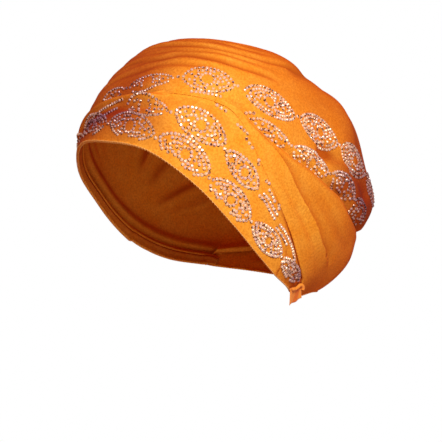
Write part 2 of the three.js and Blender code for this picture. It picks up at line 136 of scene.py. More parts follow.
def curveAt(table, at):
    x, y = np.array(table, float).T
    at = np.asarray(at, float)
    slope = np.empty_like(y)
    slope[1:-1] = (y[2:] - y[:-2]) / (x[2:] - x[:-2])
    slope[0] = (y[1] - y[0]) / (x[1] - x[0])
    slope[-1] = (y[-1] - y[-2]) / (x[-1] - x[-2])
    i = np.clip(np.searchsorted(x[1:-1], at, side="left"), 0, len(x) - 2)
    span = x[i + 1] - x[i]
    t = np.clip((at - x[i]) / span, 0, 1)
    ends = mix(y[i], y[i + 1], t * t * (3 - 2 * t))
    return ends + span * t * (1 - t) * ((1 - t) * slope[i] - t * slope[i + 1])


def directions(turn, rise):
    turn, rise = np.broadcast_arrays(np.radians(turn), np.radians(rise))
    flat = np.cos(rise)
    return np.stack([flat * np.sin(turn), -flat * np.cos(turn), np.sin(rise)], axis=-1)


profileReach = [(angle, wrap[size] * share) for angle, size, share in wrap["profile"]]


def formRadius(d):
    angle = np.degrees(np.arctan2(d[..., 2], -d[..., 1]))
    middle = curveAt(profileReach, np.where(angle < -100, angle + 360, angle))
    side = np.abs(d[..., 0])
    level = np.sqrt(1 - np.minimum(side, 1) ** 2)
    n = wrap["fullness"]
    reach = ((level / middle) ** n + (side / wrap["side"]) ** n) ** (-1 / n)
    for turn, rise, spread, height in wrap["fullerAt"]:
        away = np.degrees(np.linalg.norm(d - directions(turn, rise), axis=-1))
        reach = reach + height * bell(away, spread)
    return reach


tilt = math.radians(wrap["hemTilt"])
tiltCos, tiltSin = math.cos(tilt), math.sin(tilt)


# Points that stand a given distance off the head form, in metres
def placed(d, off):
    p = d * (formRadius(d) + off)[..., None]
    ahead = p[..., 1] * tiltCos + p[..., 2] * tiltSin
    return np.stack([p[..., 0], ahead, p[..., 2] * tiltCos - p[..., 1] * tiltSin], -1) * mm


def asAngle(length, turn, rise):
    return np.degrees(length / formRadius(directions(turn, rise)))


# Slow swells in the cloth, the same for every layer at one direction
swell = {"seed": 5, "waves": 26, "wavesRound": (5.0, 18.0), "height": 0.34, "fullHeightAt": 6}
swellDraw = np.random.default_rng(swell["seed"])
swellWay = unit(swellDraw.normal(size=(swell["waves"], 3)))
swellWay *= swellDraw.uniform(*swell["wavesRound"], size=(swell["waves"], 1))
swellStart = swellDraw.uniform(0, 2 * math.pi, swell["waves"])


def swells(d):
    flat = d.reshape(-1, 3)
    size = swell["height"] / np.linalg.norm(swellWay, axis=1) * swell["fullHeightAt"]
    height = np.sin(flat @ swellWay.T + swellStart) @ size / math.sqrt(swell["waves"])
    return height.reshape(d.shape[:-1])


# A smooth line through a few turns and rises, as directions
def pathOnForm(path, perSpan=16):
    p = directions(*np.array(path, float).T)
    p = np.vstack([2 * p[0] - p[1], p, 2 * p[-1] - p[-2]])
    t = np.linspace(0, 1, perSpan, endpoint=False)[:, None]
    spans = [
        0.5 * (2 * b + (c - a) * t + (2 * a - 5 * b + 4 * c - e) * t**2 + (3 * b - a - 3 * c + e) * t**3)
        for a, b, c, e in zip(p, p[1:], p[2:], p[3:])
    ]
    return unit(np.vstack([*spans, p[-2:-1]]))


# Degrees from each direction to a path, positive above it, and the share of the path passed there
def besidePath(d, line):
    near = np.argmax(d @ line.T, axis=1)
    best = np.full(len(d), np.inf)
    side = np.zeros(len(d))
    share = np.zeros(len(d))
    for start in (near - 1, near):
        i = np.clip(start, 0, len(line) - 2)
        a, b = line[i], line[i + 1]
        run = b - a
        t = np.clip(((d - a) * run).sum(1) / (run * run).sum(1), 0, 1)
        away = np.linalg.norm(d - a - t[:, None] * run, axis=1)
        sign = np.sign((np.cross(a, b) * d).sum(1))
        closer = away < best
        best = np.where(closer, away, best)
        side = np.where(closer, sign, side)
        share = np.where(closer, (i + t) / (len(line) - 1), share)
    return np.degrees(best) * side, share


# Cross-sections of a fold, in heights of the fold, by the distance beside it in widths
section = {
    "gatherPower": 1.25,
    "ridge": 0.3,
    "ridgeAt": 2.1,
    "pleat": ((0.52, 2.6), (-0.62, 1.7)),  # height and width over and under its edge
    "pleatTurn": 0.12,
}


def gatherShape(s):
    s = np.abs(s)
    return -np.exp(-(s ** section["gatherPower"])) + section["ridge"] * bell(s - section["ridgeAt"], 1)


def softShape(s):
    return -bell(s, 1)


def pleatShape(s):
    over, under = (height * np.exp(-np.abs(s) / width) for height, width in section["pleat"])
    return mix(over, under, smooth(s, -section["pleatTurn"], section["pleatTurn"]))


foldShapes = {"gather": gatherShape, "soft": softShape, "pleat": pleatShape}


# Depth in millimetres, width in degrees, and the share of the path in which the fold fades at each end
def fold(shape, depth, width, path, fade=0.16):
    return {"shape": shape, "depth": depth, "width": width, "path": path, "fade": fade}


def foldHeight(folds, d):
    flat = d.reshape(-1, 3)
    height = np.zeros(len(flat))
    for each in folds:
        beside, share = besidePath(flat, pathOnForm(each["path"]))
        fade = smooth(np.minimum(share, 1 - share), 0, each["fade"])
        height += each["depth"] * fade * foldShapes[each["shape"]](beside / each["width"])
    return height.reshape(d.shape[:-1])


fanned = {"shift": 0.28, "sway": 0.7, "depths": (0.55, 1.2), "widths": (0.8, 1.25), "fade": 0.3}


# Gathers that fan out between two paths with as many points
def fan(low, high, count, depth, width, seed):
    draw = np.random.default_rng(seed)
    low, high = np.array(low, float), np.array(high, float)
    folds = []
    for k in range(count):
        share = (k + 0.5 + draw.uniform(-fanned["shift"], fanned["shift"])) / count
        path = mix(low, high, share)
        path[1:-1, 1] += draw.uniform(-fanned["sway"], fanned["sway"], len(path) - 2)
        first = draw.integers(0, 2)
        last = len(path) - draw.integers(0, 2)
        deep = depth * draw.uniform(*fanned["depths"])
        wide = width * draw.uniform(*fanned["widths"])
        folds.append(fold("gather", deep, wide, path[first:last], fanned["fade"]))
    return folds


crownFolds = [
    fold("gather", 1.7, 1.15,
         [(-66, 0), (-34, 18), (-15, 29), (3, 33.6), (12, 37.8), (24, 40.8), (37, 44), (50, 48.8),
          (60, 52)]),
    fold("gather", 1.5, 1.1,
         [(-70, 4), (-42, 25), (-14, 39.5), (2.5, 43.2), (22, 47.6), (40, 55), (60, 63), (84, 68)]),
    fold("gather", 1.2, 1.0, [(-64, -2), (-34, 12), (-4, 25.7), (6, 30.7), (22, 35.4), (34, 39.2)]),
    fold("gather", 1.6, 1.7, [(-76, 8), (-58, 33), (-36, 51), (-5, 65), (40, 77)]),
    fold("soft", 1.8, 3.4, [(58, 60), (80, 67), (98, 71.5), (125, 74), (160, 74)]),
    fold("soft", 1.1, 3.2, [(150, 70), (137, 58), (132, 46), (128, 38)]),
    fold("soft", 2.6, 3.0, [(88, 33.5), (98, 34.3), (109, 34.6), (121, 34)]),
    fold("soft", 2.8, 2.8, [(114, 31.5), (123, 30.4), (130, 27.8), (138, 22.5)]),
    fold("gather", 2.1, 2.4, [(-84, 2), (-80, 34), (-66, 58), (-20, 76)]),
    fold("gather", 2.1, 2.4, [(-92, 0), (-100, 24), (-118, 44), (-150, 58)]),
    fold("gather", 1.7, 2.4, [(-100, -6), (-116, 12), (-136, 28), (-160, 38)]),
    fold("soft", 2.2, 5, [(150, 52), (170, 42), (190, 34), (205, 20)]),
    fold("soft", -3.5, 11, [(96, 34), (120, 30), (150, 24), (180, 22), (200, 17)]),
    *fan([(-62, -1), (-34, 13), (-10, 23), (8, 30), (26, 36), (42, 39)],
         [(-65, 2), (-32, 19), (-8, 30), (10, 37), (30, 42.4), (48, 48)], 4, 0.6, 0.8, 11),
    *fan([(-65, 2), (-34, 19), (-14, 30), (12, 38.5), (32, 43.8), (54, 51)],
         [(-70, 6), (-42, 27), (-14, 40.5), (12, 46), (36, 54), (58, 63)], 8, 0.85, 0.8, 12),
    *fan([(-69, 7), (-44, 28), (-18, 41), (8, 48), (30, 55), (50, 62)],
         [(-76, 10), (-56, 34), (-34, 50), (-4, 62), (20, 70), (44, 78)], 9, 0.9, 1.0, 13),
    *fan([(-78, 8), (-62, 36), (-42, 54), (-14, 68)],
         [(-92, 4), (-96, 30), (-100, 52), (-104, 70)], 9, 1.0, 1.4, 14),
    *fan([(-93, 2), (-102, 24), (-118, 42), (-146, 56)],
         [(-108, -8), (-124, 4), (-142, 18), (-160, 28)], 9, 0.9, 1.4, 15),
    *fan([(205, 8), (190, 20), (170, 32), (148, 42)],
         [(212, 24), (196, 40), (176, 52), (150, 60)], 8, 0.8, 1.6, 16),
    *fan([(60, 40), (84, 47), (108, 46), (128, 41)],
         [(62, 54), (86, 60), (112, 62), (136, 58)], 4, 0.35, 2.0, 17),
]

drapeFolds = [
    fold("pleat", 3.6, 1.9,
         [(47, 26.4), (53, 24.6), (58, 23.9), (66, 21.3), (75.3, 17.6), (82, 13.6), (91, 9.1), (103, 3.4),
          (111, -1.4), (121, -5.4), (129, -9)], 0.12),
    fold("soft", 0.25, 2.4, [(62, 22), (76, 14.5), (90, 4.5), (104, -3), (116, -10), (126, -17)]),
    fold("soft", 0.5, 2.4, [(92, 19), (112, 11), (126, 5), (140, 4)]),
    fold("gather", 1.5, 2.2, [(158, 3), (172, -1), (186, -4), (206, -8)]),
    *fan([(60, 19.5), (78, 8), (94, -1), (110, -8), (124, -15)],
         [(66, 21), (84, 12), (100, 3), (116, -5), (130, -12)], 3, 0.3, 1.2, 21),
    *fan([(86, 14), (104, 7), (120, 0), (138, -3)],
         [(90, 20), (110, 13), (128, 7), (144, 5)], 4, 0.25, 1.8, 22),
    *fan([(152, -12), (166, -9), (180, -7), (196, -8)],
         [(152, 6), (166, 6), (182, 5), (198, 0)], 6, 0.8, 1.4, 23),
]

bandFolds = [
    fold("gather", 0.9, 0.8, [(8, 18.4), (16.9, 20.4), (24.7, 21.9), (32.2, 22.8)]),
    fold("soft", 0.8, 2.6, [(14, 17.5), (24, 19.5), (36, 20.5), (46, 17)]),
    fold("gather", 0.7, 1.2, [(-52, -6), (-30, 4.5), (-10, 11.5), (8, 15.4)]),
    fold("gather", 0.6, 1.1, [(84, -12), (94, -15), (104, -18.6), (112, -21)]),
]

hiddenDepth = wrap["edgeRound"] + wrap["cloth"] + wrap["layerGap"]
firstTurn = wrap["seam"] - 360


def hemRise(turn):
    turn = np.asarray(turn, float)
    lower = sum(drop * bell(turn - at, spread) for at, spread, drop in wrap["hemLower"])
    return curveAt(wrap["hemLine"], np.where(turn > 180, 360 - turn, np.abs(turn))) - lower


def bandRise(turn):
    return curveAt(wrap["bandTop"], turn)


def drapeRise(turn):
    return curveAt(wrap["drapeTop"], turn)


def hemTop(turn):
    return hemRise(turn) + asAngle(wrap["hemWidth"] + wrap["layerGap"], turn, hemRise(turn))


# The line where the drape meets the band, and beyond the band's end the hem
def drapeEdge(turn):
    return mix(bandRise(turn), hemTop(turn), smooth(turn, wrap["bandEnd"], wrap["napeStart"]))


def twist(turn):
    return smooth(turn, wrap["twistStart"], wrap["twistEnd"])


def onDrapeSide(turn):
    return smooth(turn, wrap["drapeStart"], wrap["drapeStart"] + wrap["handover"])


# Where the layers run into each other with no step, from the twist to the temple
def flush(turn):
    return twist(turn) * (1 - smooth(turn, *wrap["flushUntil"]))


# How much of its thickness a layer keeps beside such an edge, by the angle above it
def thinned(along, above, over):
    return mix(wrap["flushLayer"], 1, np.maximum(smooth(above, 0, over), 1 - along))


def crownThickness(turn, above):
    return thinned(flush(turn) * (1 - onDrapeSide(turn)), above, wrap["crownThins"])


# The drape's thin ends: how long they are, the share of thickness kept, and how they lie
drapeEnds = {
    "tipLong": 9, "tipThick": 0.12, "tipLift": 0.35, "tipLiftUntil": (40, 48),
    "seamLong": 4, "seamThick": 0.3, "seamDrop": 0.9,
}


def clearOfSeam(turn):
    return smooth(wrap["seam"] - turn, 0, drapeEnds["seamLong"])


def drapeThickness(turn, above):
    tip = smooth(turn, wrap["drapeStart"], wrap["drapeStart"] + drapeEnds["tipLong"])
    thick = thinned(flush(turn), above, wrap["drapeThins"]) * mix(drapeEnds["tipThick"], 1, tip)
    return thick * mix(drapeEnds["seamThick"], 1, clearOfSeam(turn))


def tuckUnderDrape(turn):
    turn = np.maximum(turn, wrap["drapeStart"])
    return np.minimum(wrap["tuck"], wrap["tuckShare"] * (drapeRise(turn) - drapeEdge(turn)))


def crownCover(turn):
    return mix(bandRise(turn), drapeRise(np.maximum(turn, wrap["drapeStart"])), onDrapeSide(turn))


def crownEdge(turn):
    under = 1 - smooth(turn, wrap["twistStart"] - wrap["handover"], wrap["twistStart"])
    clear = asAngle(wrap["layerGap"], turn, 0) * (twist(turn) - onDrapeSide(turn) - under)
    return crownCover(turn) - wrap["tuck"] * under - tuckUnderDrape(turn) * onDrapeSide(turn) + clear


# Painted shade: places where cloth and stones are darkened, for folded cloth beside them or the side turned
# from the light: where, how wide, how much
shades = {
    "crown": [
        ((127, 26), 8, 0.6), ((113, 25), 8, 0.75), ((103, 33), 5, 0.35), ((138, 19), 11, 0.8),
        ((150, 30), 12, 0.4), ((131, 41), 10, 0.6), ((2, 24), 12, 0.6), ((-30, 36), 24, 0.5),
        ((12, 42), 12, 0.3),
    ],
    "band": [
        ((13, 12.5), 7, 0.45), ((20, 8), 6, 0.3), ((8, 3), 6, 0.25), ((4, 10.5), 7, 0.65),
        ((-12, 8), 12, 0.5), ((104, -20), 6, 0.35), ((111, -22.5), 6, 0.6),
    ],
    "drape": [((126, -20), 8, 0.35), ((113, -8), 5, 0.12)],
}


def shadeOf(layer, d):
    shade = np.zeros(d.shape[:-1])
    for at, width, depth in shades[layer]:
        shade += depth * bell(np.degrees(np.linalg.norm(d - directions(*at), axis=-1)), width)
    return shade


# The band's folded upper rim, in degrees and millimetres, and the painted shade on the cloth above and
# below it and along the drape's edge
lip = {
    "height": 3.2,
    "middle": 1.5,
    "width": 1.15,
    "groove": 1.5,
    "grooveAt": 5.1,
    "backing": 1.1,  # how far the crown stands out behind the rim
    "backingFrom": (0.3, 1.6),
    "shadeAbove": 0.35,
    "shadeBelow": 0.6,
    "shadeBesideDrape": 0.6,
    "aboveWidth": 7,
    "aboveUntil": (-4, 12),
    "belowFrom": (2.4, 5),
    "belowWidth": 5.5,
    "belowUntil": (-6, 7),
    "besideWidth": 1.8,
    "besideFrom": (68, 90),
}


# Each surface gives its height over the form, the part of it that is folds, and its painted shade
def crownSurface(turn, rise):
    d = directions(turn, rise)
    above = rise - crownCover(turn)
    dip = mix(wrap["lipDip"], wrap["dip"], smooth(turn, 0, wrap["twistStart"]))
    seen = mix(smooth(above, wrap["sunk"], wrap["sunk"] + dip), 1, twist(turn) - onDrapeSide(turn))
    under = np.clip(-above / np.maximum(tuckUnderDrape(turn), wrap["leastTuck"]), 0, 1)
    underCrease = wrap["underCrease"] * np.sin(np.pi * under) ** wrap["creasePower"] * onDrapeSide(turn)
    underLip = lip["height"] * bell(above + lip["middle"], lip["width"]) + lip["backing"]
    underLip = underLip * smooth(-above, *lip["backingFrom"]) * (1 - twist(turn))
    folds = foldHeight(crownFolds, d) * seen
    # Painted shade above the band's rim, and at the places in the shade table
    shade = lip["shadeAbove"] * bell(above, lip["aboveWidth"]) * (1 - smooth(turn, *lip["aboveUntil"]))
    height = folds + swells(d) - hiddenDepth * (1 - seen) - underCrease + underLip
    return height, folds, shade + shadeOf("crown", d)


# The band's foot folds over the rolled hem, and the drape's hangs in shallow scallops
foot = {"over": 0.3, "scallop": 0.45, "scallopEach": 0.33, "lower": 0.3}


def bandFoot(turn):
    return hemRise(turn) + asAngle(foot["over"], turn, hemRise(turn))


def drapeFoot(turn):
    atNape = smooth(turn, wrap["bandEnd"], wrap["napeStart"])
    scallop = foot["scallop"] * np.abs(np.sin(np.asarray(turn) * foot["scallopEach"])) - foot["lower"]
    return mix(bandRise(turn), hemRise(turn) + scallop, atNape)


def bandEdge(turn):
    share, early = wrap["bandUnderCrown"]
    underCrown = share * wrap["tuck"] * smooth(turn, wrap["twistStart"] - early, wrap["twistEnd"] - early)
    return bandRise(turn) + mix(underCrown, tuckUnderDrape(turn), onDrapeSide(turn))


def bandSurface(turn, rise):
    d = directions(turn, rise)
    below = drapeEdge(turn) - rise
    free = 1 - twist(turn)
    rim = lip["height"] * bell(below - lip["middle"], lip["width"]) * free
    rim -= lip["groove"] * bell(below - lip["grooveAt"], lip["width"]) * free
    inside = smooth(rise - hemTop(turn), 0, wrap["clearOfHem"])
    clearOfEdge = smooth(below, *wrap["clearOfEdge"])
    folds = foldHeight(bandFolds, d) * inside * clearOfEdge
    step = wrap["bandUnder"] * (1 - smooth(below, *wrap["bandDip"]))
    (depth, over), (depthUnder, overUnder) = wrap["bandDive"], wrap["bandDiveUnder"]
    dive = depth * (1 - smooth(below, 0, over)) + depthUnder * smooth(-below, 0, overUnder)
    sink = mix(step, dive, flush(turn)) * twist(turn)
    fromSeam = smooth(turn, firstTurn, firstTurn + wrap["lapLong"])
    lap = (wrap["cloth"] + wrap["bandLap"]) * (1 - fromSeam)
    # Painted shade below the rim, at the places in the shade table and along the drape's edge
    darkest = lip["belowFrom"][1]
    shade = lip["shadeBelow"] * smooth(below, *lip["belowFrom"]) * bell(below - darkest, lip["belowWidth"])
    shade = shade * (1 - smooth(turn, *lip["belowUntil"])) + shadeOf("band", d) * clearOfEdge
    shade = shade + lip["shadeBesideDrape"] * bell(below, lip["besideWidth"]) * smooth(turn, *lip["besideFrom"])
    return rim + folds + swells(d) - sink - lap, folds, shade


def drapeSurface(turn, rise):
    d = directions(turn, rise)
    toFoot, toTop = rise - drapeFoot(turn), drapeRise(turn) - rise
    folds = foldHeight(drapeFolds, d) * smooth(np.minimum(toFoot, toTop), 0, wrap["tuck"])
    roll = wrap["edgeRound"] * (1 - smooth(toTop, 0, wrap["dip"])) ** wrap["edgePower"]
    roll = roll * smooth(turn, *wrap["edgeRollFrom"])
    roll = roll + wrap["footRound"] * (1 - smooth(toFoot, 0, wrap["footDip"])) * (1 - flush(turn))
    tip = drapeEnds["tipLift"] * (1 - smooth(turn, *drapeEnds["tipLiftUntil"]))
    drop = drapeEnds["seamDrop"] * (1 - clearOfSeam(turn))
    return folds + swells(d) - roll + tip - drop, folds, shadeOf("drape", d)


print("form ready")


def addObject(name, data):
    obj = bpy.data.objects.new(name, data)
    bpy.context.collection.objects.link(obj)
    return obj


def meshObject(name, verts, faces, smoothShade=True):
    mesh = bpy.data.meshes.new(name)
    mesh.from_pydata([tuple(v) for v in verts], [], faces)
    mesh.validate()
    mesh.update()
    if smoothShade:
        mesh.polygons.foreach_set("use_smooth", np.ones(len(mesh.polygons), bool))
    return addObject(name, mesh)


def weld(obj, distance=2e-6):
    work = bmesh.new()
    work.from_mesh(obj.data)
    bmesh.ops.remove_doubles(work, verts=work.verts, dist=distance)
    bmesh.ops.recalc_face_normals(work, faces=work.faces)
    work.to_mesh(obj.data)
    work.free()


# Painted shade: the crease mark darkens the cloth in its folds, fully at this depth
creaseFull = 2.4  # the depth of a fold, in millimetres, at which the cloth is darkest
edgeRows = np.array([0, 0.05, 0.18, 0.4, 0.75, 1.25, 1.9])  # millimetres from a folded edge
edgeShare = 0.3  # the most of the cloth's height that they may take up


# Values from 0 to 1 at every point, which the materials read by name
def addMark(obj, name, values):
    mark = obj.data.attributes.new(name, "FLOAT", "POINT")
    mark.data.foreach_set("value", np.clip(values, 0, 1).reshape(-1).astype(np.float32))


# Faces between neighbouring rings with as many points each
def ringFaces(rings, count, closed=False):
    j = np.arange(rings if closed else rings - 1)[:, None]
    k = np.arange(count)[None, :]
    here, there = j * count, ((j + 1) % rings) * count
    up = (k + 1) % count
    return np.stack([here + k, there + k, there + up, here + up], axis=-1).reshape(-1, 4).tolist()


# Faces that close the first and the last ring of a flat shell, from its outer to its inner side
def endFaces(rings, count):
    quads = []
    for side, flip in ((0, False), ((rings - 1) * count, True)):
        for i in range(count // 2 - 1):
            quad = [side + i, side + i + 1, side + count - 2 - i, side + count - 1 - i]
            quads.append(quad[::-1] if flip else quad)
    return quads


# A closed shell of cloth between a lower and an upper edge, with a round rim. The crown closes at the pole
def clothShell(name, turns, rows, lower, upper, surface, closed=False, pole=False, thickness=None):
    low, high = lower(turns), upper(turns)
    middle = 0.5 * (low + high)
    tall = np.radians(high - low) * formRadius(directions(turns, middle))
    scale = np.minimum(1, edgeShare * tall / edgeRows[-1])[:, None]
    near = edgeRows[None, :] * scale
    far = np.zeros_like(near[:, :1]) if pole else near[:, ::-1]
    start, end = near[:, -1:], tall[:, None] - far[:, :1]
    body = start + (end - start) * np.linspace(0, 1, rows + 1)[None, 1:-1]
    away = np.hstack([near, body, tall[:, None] - far])
    share = away / tall[:, None]
    rise = low[:, None] + share * (high - low)[:, None]
    turn = np.repeat(turns[:, None], rise.shape[1], axis=1)
    height, folds, shade = surface(turn, rise)
    half = 0.5 * wrap["cloth"] * (thickness(turn, rise - low[:, None]) if thickness else 1)
    toRim = away if pole else np.minimum(away, tall[:, None] - away)
    roundOff = half * np.sqrt(1 - (1 - np.clip(toRim / (half * scale), 0, 1)) ** 2)
    d = directions(turn, rise)
    outer = placed(d, height - half + roundOff)
    inner = placed(d, height - half - roundOff)
    ring = np.concatenate([outer, inner[:, ::-1]], axis=1)
    rings, count = ring.shape[:2]
    faces = ringFaces(rings, count, closed) + ([] if closed else endFaces(rings, count))
    obj = meshObject(name, ring.reshape(-1, 3), faces)
    # Marks for the painted shade: crease in the folds, shade where the surface gives it
    for kind, values in (("crease", -folds / creaseFull), ("shade", shade)):
        addMark(obj, kind, np.concatenate([values, values[:, ::-1]], axis=1))
    weld(obj)
    return obj


# Turns in one row, from stretches that each have a first, a last and how many steps
def stretches(*parts):
    rows = [np.linspace(first, last, steps + 1) for first, last, steps in parts]
    return np.concatenate([rows[0], *(row[1:] for row in rows[1:])])


crownTurns = stretches((firstTurn, 4, 96), (4, 43, 40), (43, wrap["seam"], 118))[:-1]
crownCloth = clothShell(
    "crown_cloth", crownTurns, 112, crownEdge, lambda turn: np.full_like(turn, 90.0), crownSurface,
    closed=True, pole=True, thickness=crownThickness,
)
print("crown", len(crownCloth.data.polygons))

bandTurns = stretches((firstTurn - 4, 4, 112), (4, 35, 32), (35, wrap["bandEnd"], 76))
bandCloth = clothShell("band_cloth", bandTurns, 34, bandFoot, bandEdge, bandSurface)
print("band", len(bandCloth.data.polygons))

seamGap = 0.1 * float(asAngle(wrap["layerGap"], 0, 0))
drapeTurns = stretches((35, 60, 30), (60, wrap["seam"] - seamGap, 150))
drapeCloth = clothShell(
    "drape_cloth", drapeTurns, 64, drapeFoot, drapeRise, drapeSurface, thickness=drapeThickness
)
print("drape", len(drapeCloth.data.polygons))


# Tubes along many short paths, as one mesh
def tubes(name, paths, radius, sides=5):
    verts, faces = [], []
    for path in paths:
        path = np.asarray(path, float)
        ahead = unit(np.gradient(path, axis=0))
        across = unit(np.cross(ahead, unit(path)))
        up = np.cross(across, ahead)
        size = np.full(len(path), radius)
        size[0] = size[-1] = 0.45 * radius
        base = len(verts)
        angles = np.arange(sides) * 2 * math.pi / sides
        for p, a, u, r in zip(path, across, up, size):
            verts += [tuple(p + r * (math.cos(t) * a + math.sin(t) * u)) for t in angles]
        for i in range(len(path) - 1):
            for k in range(sides):
                a, b = base + i * sides + k, base + i * sides + (k + 1) % sides
                faces.append((a, b, b + sides, a + sides))
        faces.append(tuple(range(base + sides - 1, base - 1, -1)))
        last = base + (len(path) - 1) * sides
        faces.append(tuple(range(last, last + sides)))
    return meshObject(name, verts, faces)


# The rolled hem and its thread, in millimetres, and the thread's angles round the roll
hem = {
    "width": 2.3,
    "thickness": 1.7,
    "perDegree": 1.75,
    "columnsEach": 1.1,
    "sides": 16,
    "waver": 0.06,
    "waverEach": 1.9,
    "stitch": 2.2,
    "thread": 0.2,
    "proud": 0.12,
    "throw": (1.15, -1.6),
    "throwSway": 0.12,
    "lean": (0.55, 0.95),
    "chainAt": 1.12,
    "chainSway": 0.14,
}


# Points round the rolled edge: angle 0 is its foot, and a right angle more is its outer face
def hemRing(turn, around, proud):
    share = 0.5 - 0.5 * np.cos(around)
    rise = hemRise(turn) + asAngle(1, turn, hemRise(turn)) * ((hem["width"] + proud) * share - proud)
    d = directions(turn, rise)
    return d, (0.5 * hem["thickness"] + proud) * np.sin(around) - 0.5 * wrap["cloth"] + swells(d)


def rolledHem(name, first, last):
    rings = int(abs(last - first) * hem["perDegree"] / hem["columnsEach"])
    around = np.linspace(0, 2 * math.pi, hem["sides"] + 1)[:-1]
    turn, angle = np.meshgrid(np.linspace(first, last, rings), around, indexing="ij")
    d, lift = hemRing(turn, angle, 0.0)
    ring = placed(d, lift + hem["waver"] * np.sin(turn * hem["waverEach"]) * np.sin(angle))
    count = len(around)
    ends = [list(range(count)), list(range(rings * count - 1, (rings - 1) * count - 1, -1))]
    obj = meshObject(name, ring.reshape(-1, 3), ringFaces(rings, count) + ends)
    weld(obj)
    return obj


# Overlock thread: slanting loops over the edge, and a line of chain along the outer side
def overlock(name, first, last, seed):
    draw = np.random.default_rng(seed)
    count = int(abs(last - first) * hem["perDegree"] / hem["stitch"])
    each = (last - first) / count
    paths = []
    for i in range(count):
        turn = first + (i + 0.5) * each
        lean = each * draw.uniform(*hem["lean"])
        angle = np.linspace(*hem["throw"], 9) + draw.uniform(-hem["throwSway"], hem["throwSway"])
        t = turn + lean * np.linspace(-0.5, 0.5, 9)
        paths.append(placed(*hemRing(t, angle, hem["proud"])))
    chain = np.linspace(first + each, last - each, count * 4)
    angle = hem["chainAt"] + hem["chainSway"] * np.sin(np.arange(len(chain)) * math.pi / 2)
    paths.append(placed(*hemRing(chain, angle, hem["proud"] + 0.5 * hem["thread"])))
    return tubes(name, paths, hem["thread"] * mm)


# The hem stops just short of the seam, and its thread a little sooner
hemFirst, hemLast = firstTurn + 0.15, wrap["seam"] - 0.15
threadFirst, threadLast = firstTurn + 0.5, hemLast - 0.4
bandHem = rolledHem("band_hem_roll", hemFirst, wrap["bandEnd"])
napeHem = rolledHem("nape_hem_roll", wrap["napeStart"], hemLast)
bandStitches = overlock("band_hem_stitches", threadFirst, wrap["bandEnd"], 31)
napeStitches = overlock("nape_hem_stitches", wrap["napeStart"], threadLast, 32)
print("hems", len(bandStitches.data.polygons), len(napeStitches.data.polygons))

# The satin tie hangs straight down outside the band's end. Lengths in millimetres
tie = {
    "width": 10.8, "front": -1.5, "top": -49.0, "length": 12.5, "slant": 2.5, "thickness": 0.9, "gap": 0.6,
    "fold": 1.6, "foldAt": (0.8, 0.4), "foldSoftness": 0.004, "creaseDepth": 1.8, "creaseWidth": 0.16,
    "ripple": 0.25, "rippleEach": (11, 2.2), "wave": 0.3, "waveEach": 9,
    "roll": 1.15, "rollProud": 0.75, "steps": 36, "rimSteepness": 14, "rimThinnest": 0.15,
}


# Points off the wearer's left side of the form at given places ahead and heights
def besideForm(y, z, off):
    x = np.full(np.shape(y), wrap["side"])
    for _ in range(12):
        d = unit(np.stack([x, y * tiltCos - z * tiltSin, y * tiltSin + z * tiltCos], axis=-1))
        x = np.sqrt((formRadius(d) + off) ** 2 - y * y - z * z)
    return x


# The middle of the satin at shares across and down it, and the painted shade along its fold
def satinAt(across, down):
    across, down = np.broadcast_arrays(np.asarray(across, float), np.asarray(down, float))
    y = tie["front"] + tie["width"] * across
    z = np.full(y.shape, tie["top"])
    x = besideForm(y, z, tie["gap"] + 0.5 * tie["thickness"])
    folded = np.abs(across - mix(*tie["foldAt"], down))
    byAcross, byDown = tie["rippleEach"]
    ripple = tie["ripple"] * np.sin(byAcross * across + byDown * down) * down
    x = x + tie["fold"] * (np.sqrt(folded**2 + tie["foldSoftness"]) - down) + ripple
    z = z - down * (tie["length"] - tie["slant"] * across) + tie["wave"] * np.sin(tie["waveEach"] * across)
    return np.stack([x, y, z], axis=-1), tie["creaseDepth"] * bell(folded, tie["creaseWidth"])


def tieRibbon():
    share = np.linspace(0, 1, tie["steps"] + 1)
    across, down = np.meshgrid(share, share, indexing="ij")
    middle, depth = satinAt(across, down)
    rim = np.minimum(np.minimum(down, 1 - down), np.minimum(across, 1 - across))
    half = 0.5 * tie["thickness"] * np.sqrt(np.clip(rim * tie["rimSteepness"], tie["rimThinnest"], 1))
    out = np.stack([half, half * 0, half * 0], axis=-1)
    ring = np.concatenate([(middle + out)[:, ::-1], middle - out], axis=1) * mm
    rings, count = ring.shape[:2]
    faces = ringFaces(rings, count) + endFaces(rings, count)
    ribbon = meshObject("tie_ribbon", ring.reshape(-1, 3), faces)
    # The crease mark is painted shade along the satin's fold
    addMark(ribbon, "crease", np.concatenate([depth[:, ::-1], depth], axis=1))
    weld(ribbon)
    return ribbon


# The curled rim of the satin, along its upper edge and over its back corner, as shares across and down
def tieRim(steps=60, evened=4):
    route = [(0.02, 0.04), (0.3, 0.1), (0.52, 0.02), (0.8, -0.03), (1.0, 0.05), (1.07, 0.22), (1.0, 0.4)]
    at = np.linspace(0, len(route) - 1, steps)
    window = np.ones(2 * evened + 1) / (2 * evened + 1)
    shares = []
    for places in zip(*route):
        line = np.interp(at, range(len(route)), places)
        shares.append(np.convolve(np.pad(line, evened, mode="edge"), window, mode="valid"))
    path, _ = satinAt(*shares)
    path[:, 0] += 0.5 * tie["thickness"] + tie["rollProud"] * tie["roll"]
    return tubes("tie_curl", [path * mm], tie["roll"] * mm, sides=20)


tieCloth = tieRibbon()
tieCurl = tieRim()
print("tie")

# Flat-backed crystals. Heights are in radii, places in degrees of turn, the rest in millimetres
stone = {
    "radius": 1.24,
    "facets": 8,
    "height": 0.75,
    "table": 0.55,
    "girdle": 0.2,
    "back": (0.96, -0.08),
    "sizes": (0.95, 1.05),
    "tilt": 0.15,  # how unevenly the stones lie, as a slope
    "pitch": 2.6,
    "slack": 0.05,  # the least room between two stones
    "margin": 1.2,  # from a stone's middle to an edge that covers the cloth
    "lipMargin": 0.8,
    "fine": 0.86,  # the stones are finer and closer on the wearer's right, where the cloth is gathered
    "fineUntil": (8, 34),
    "crownFrom": -120,
    "bandUntil": 113,
}

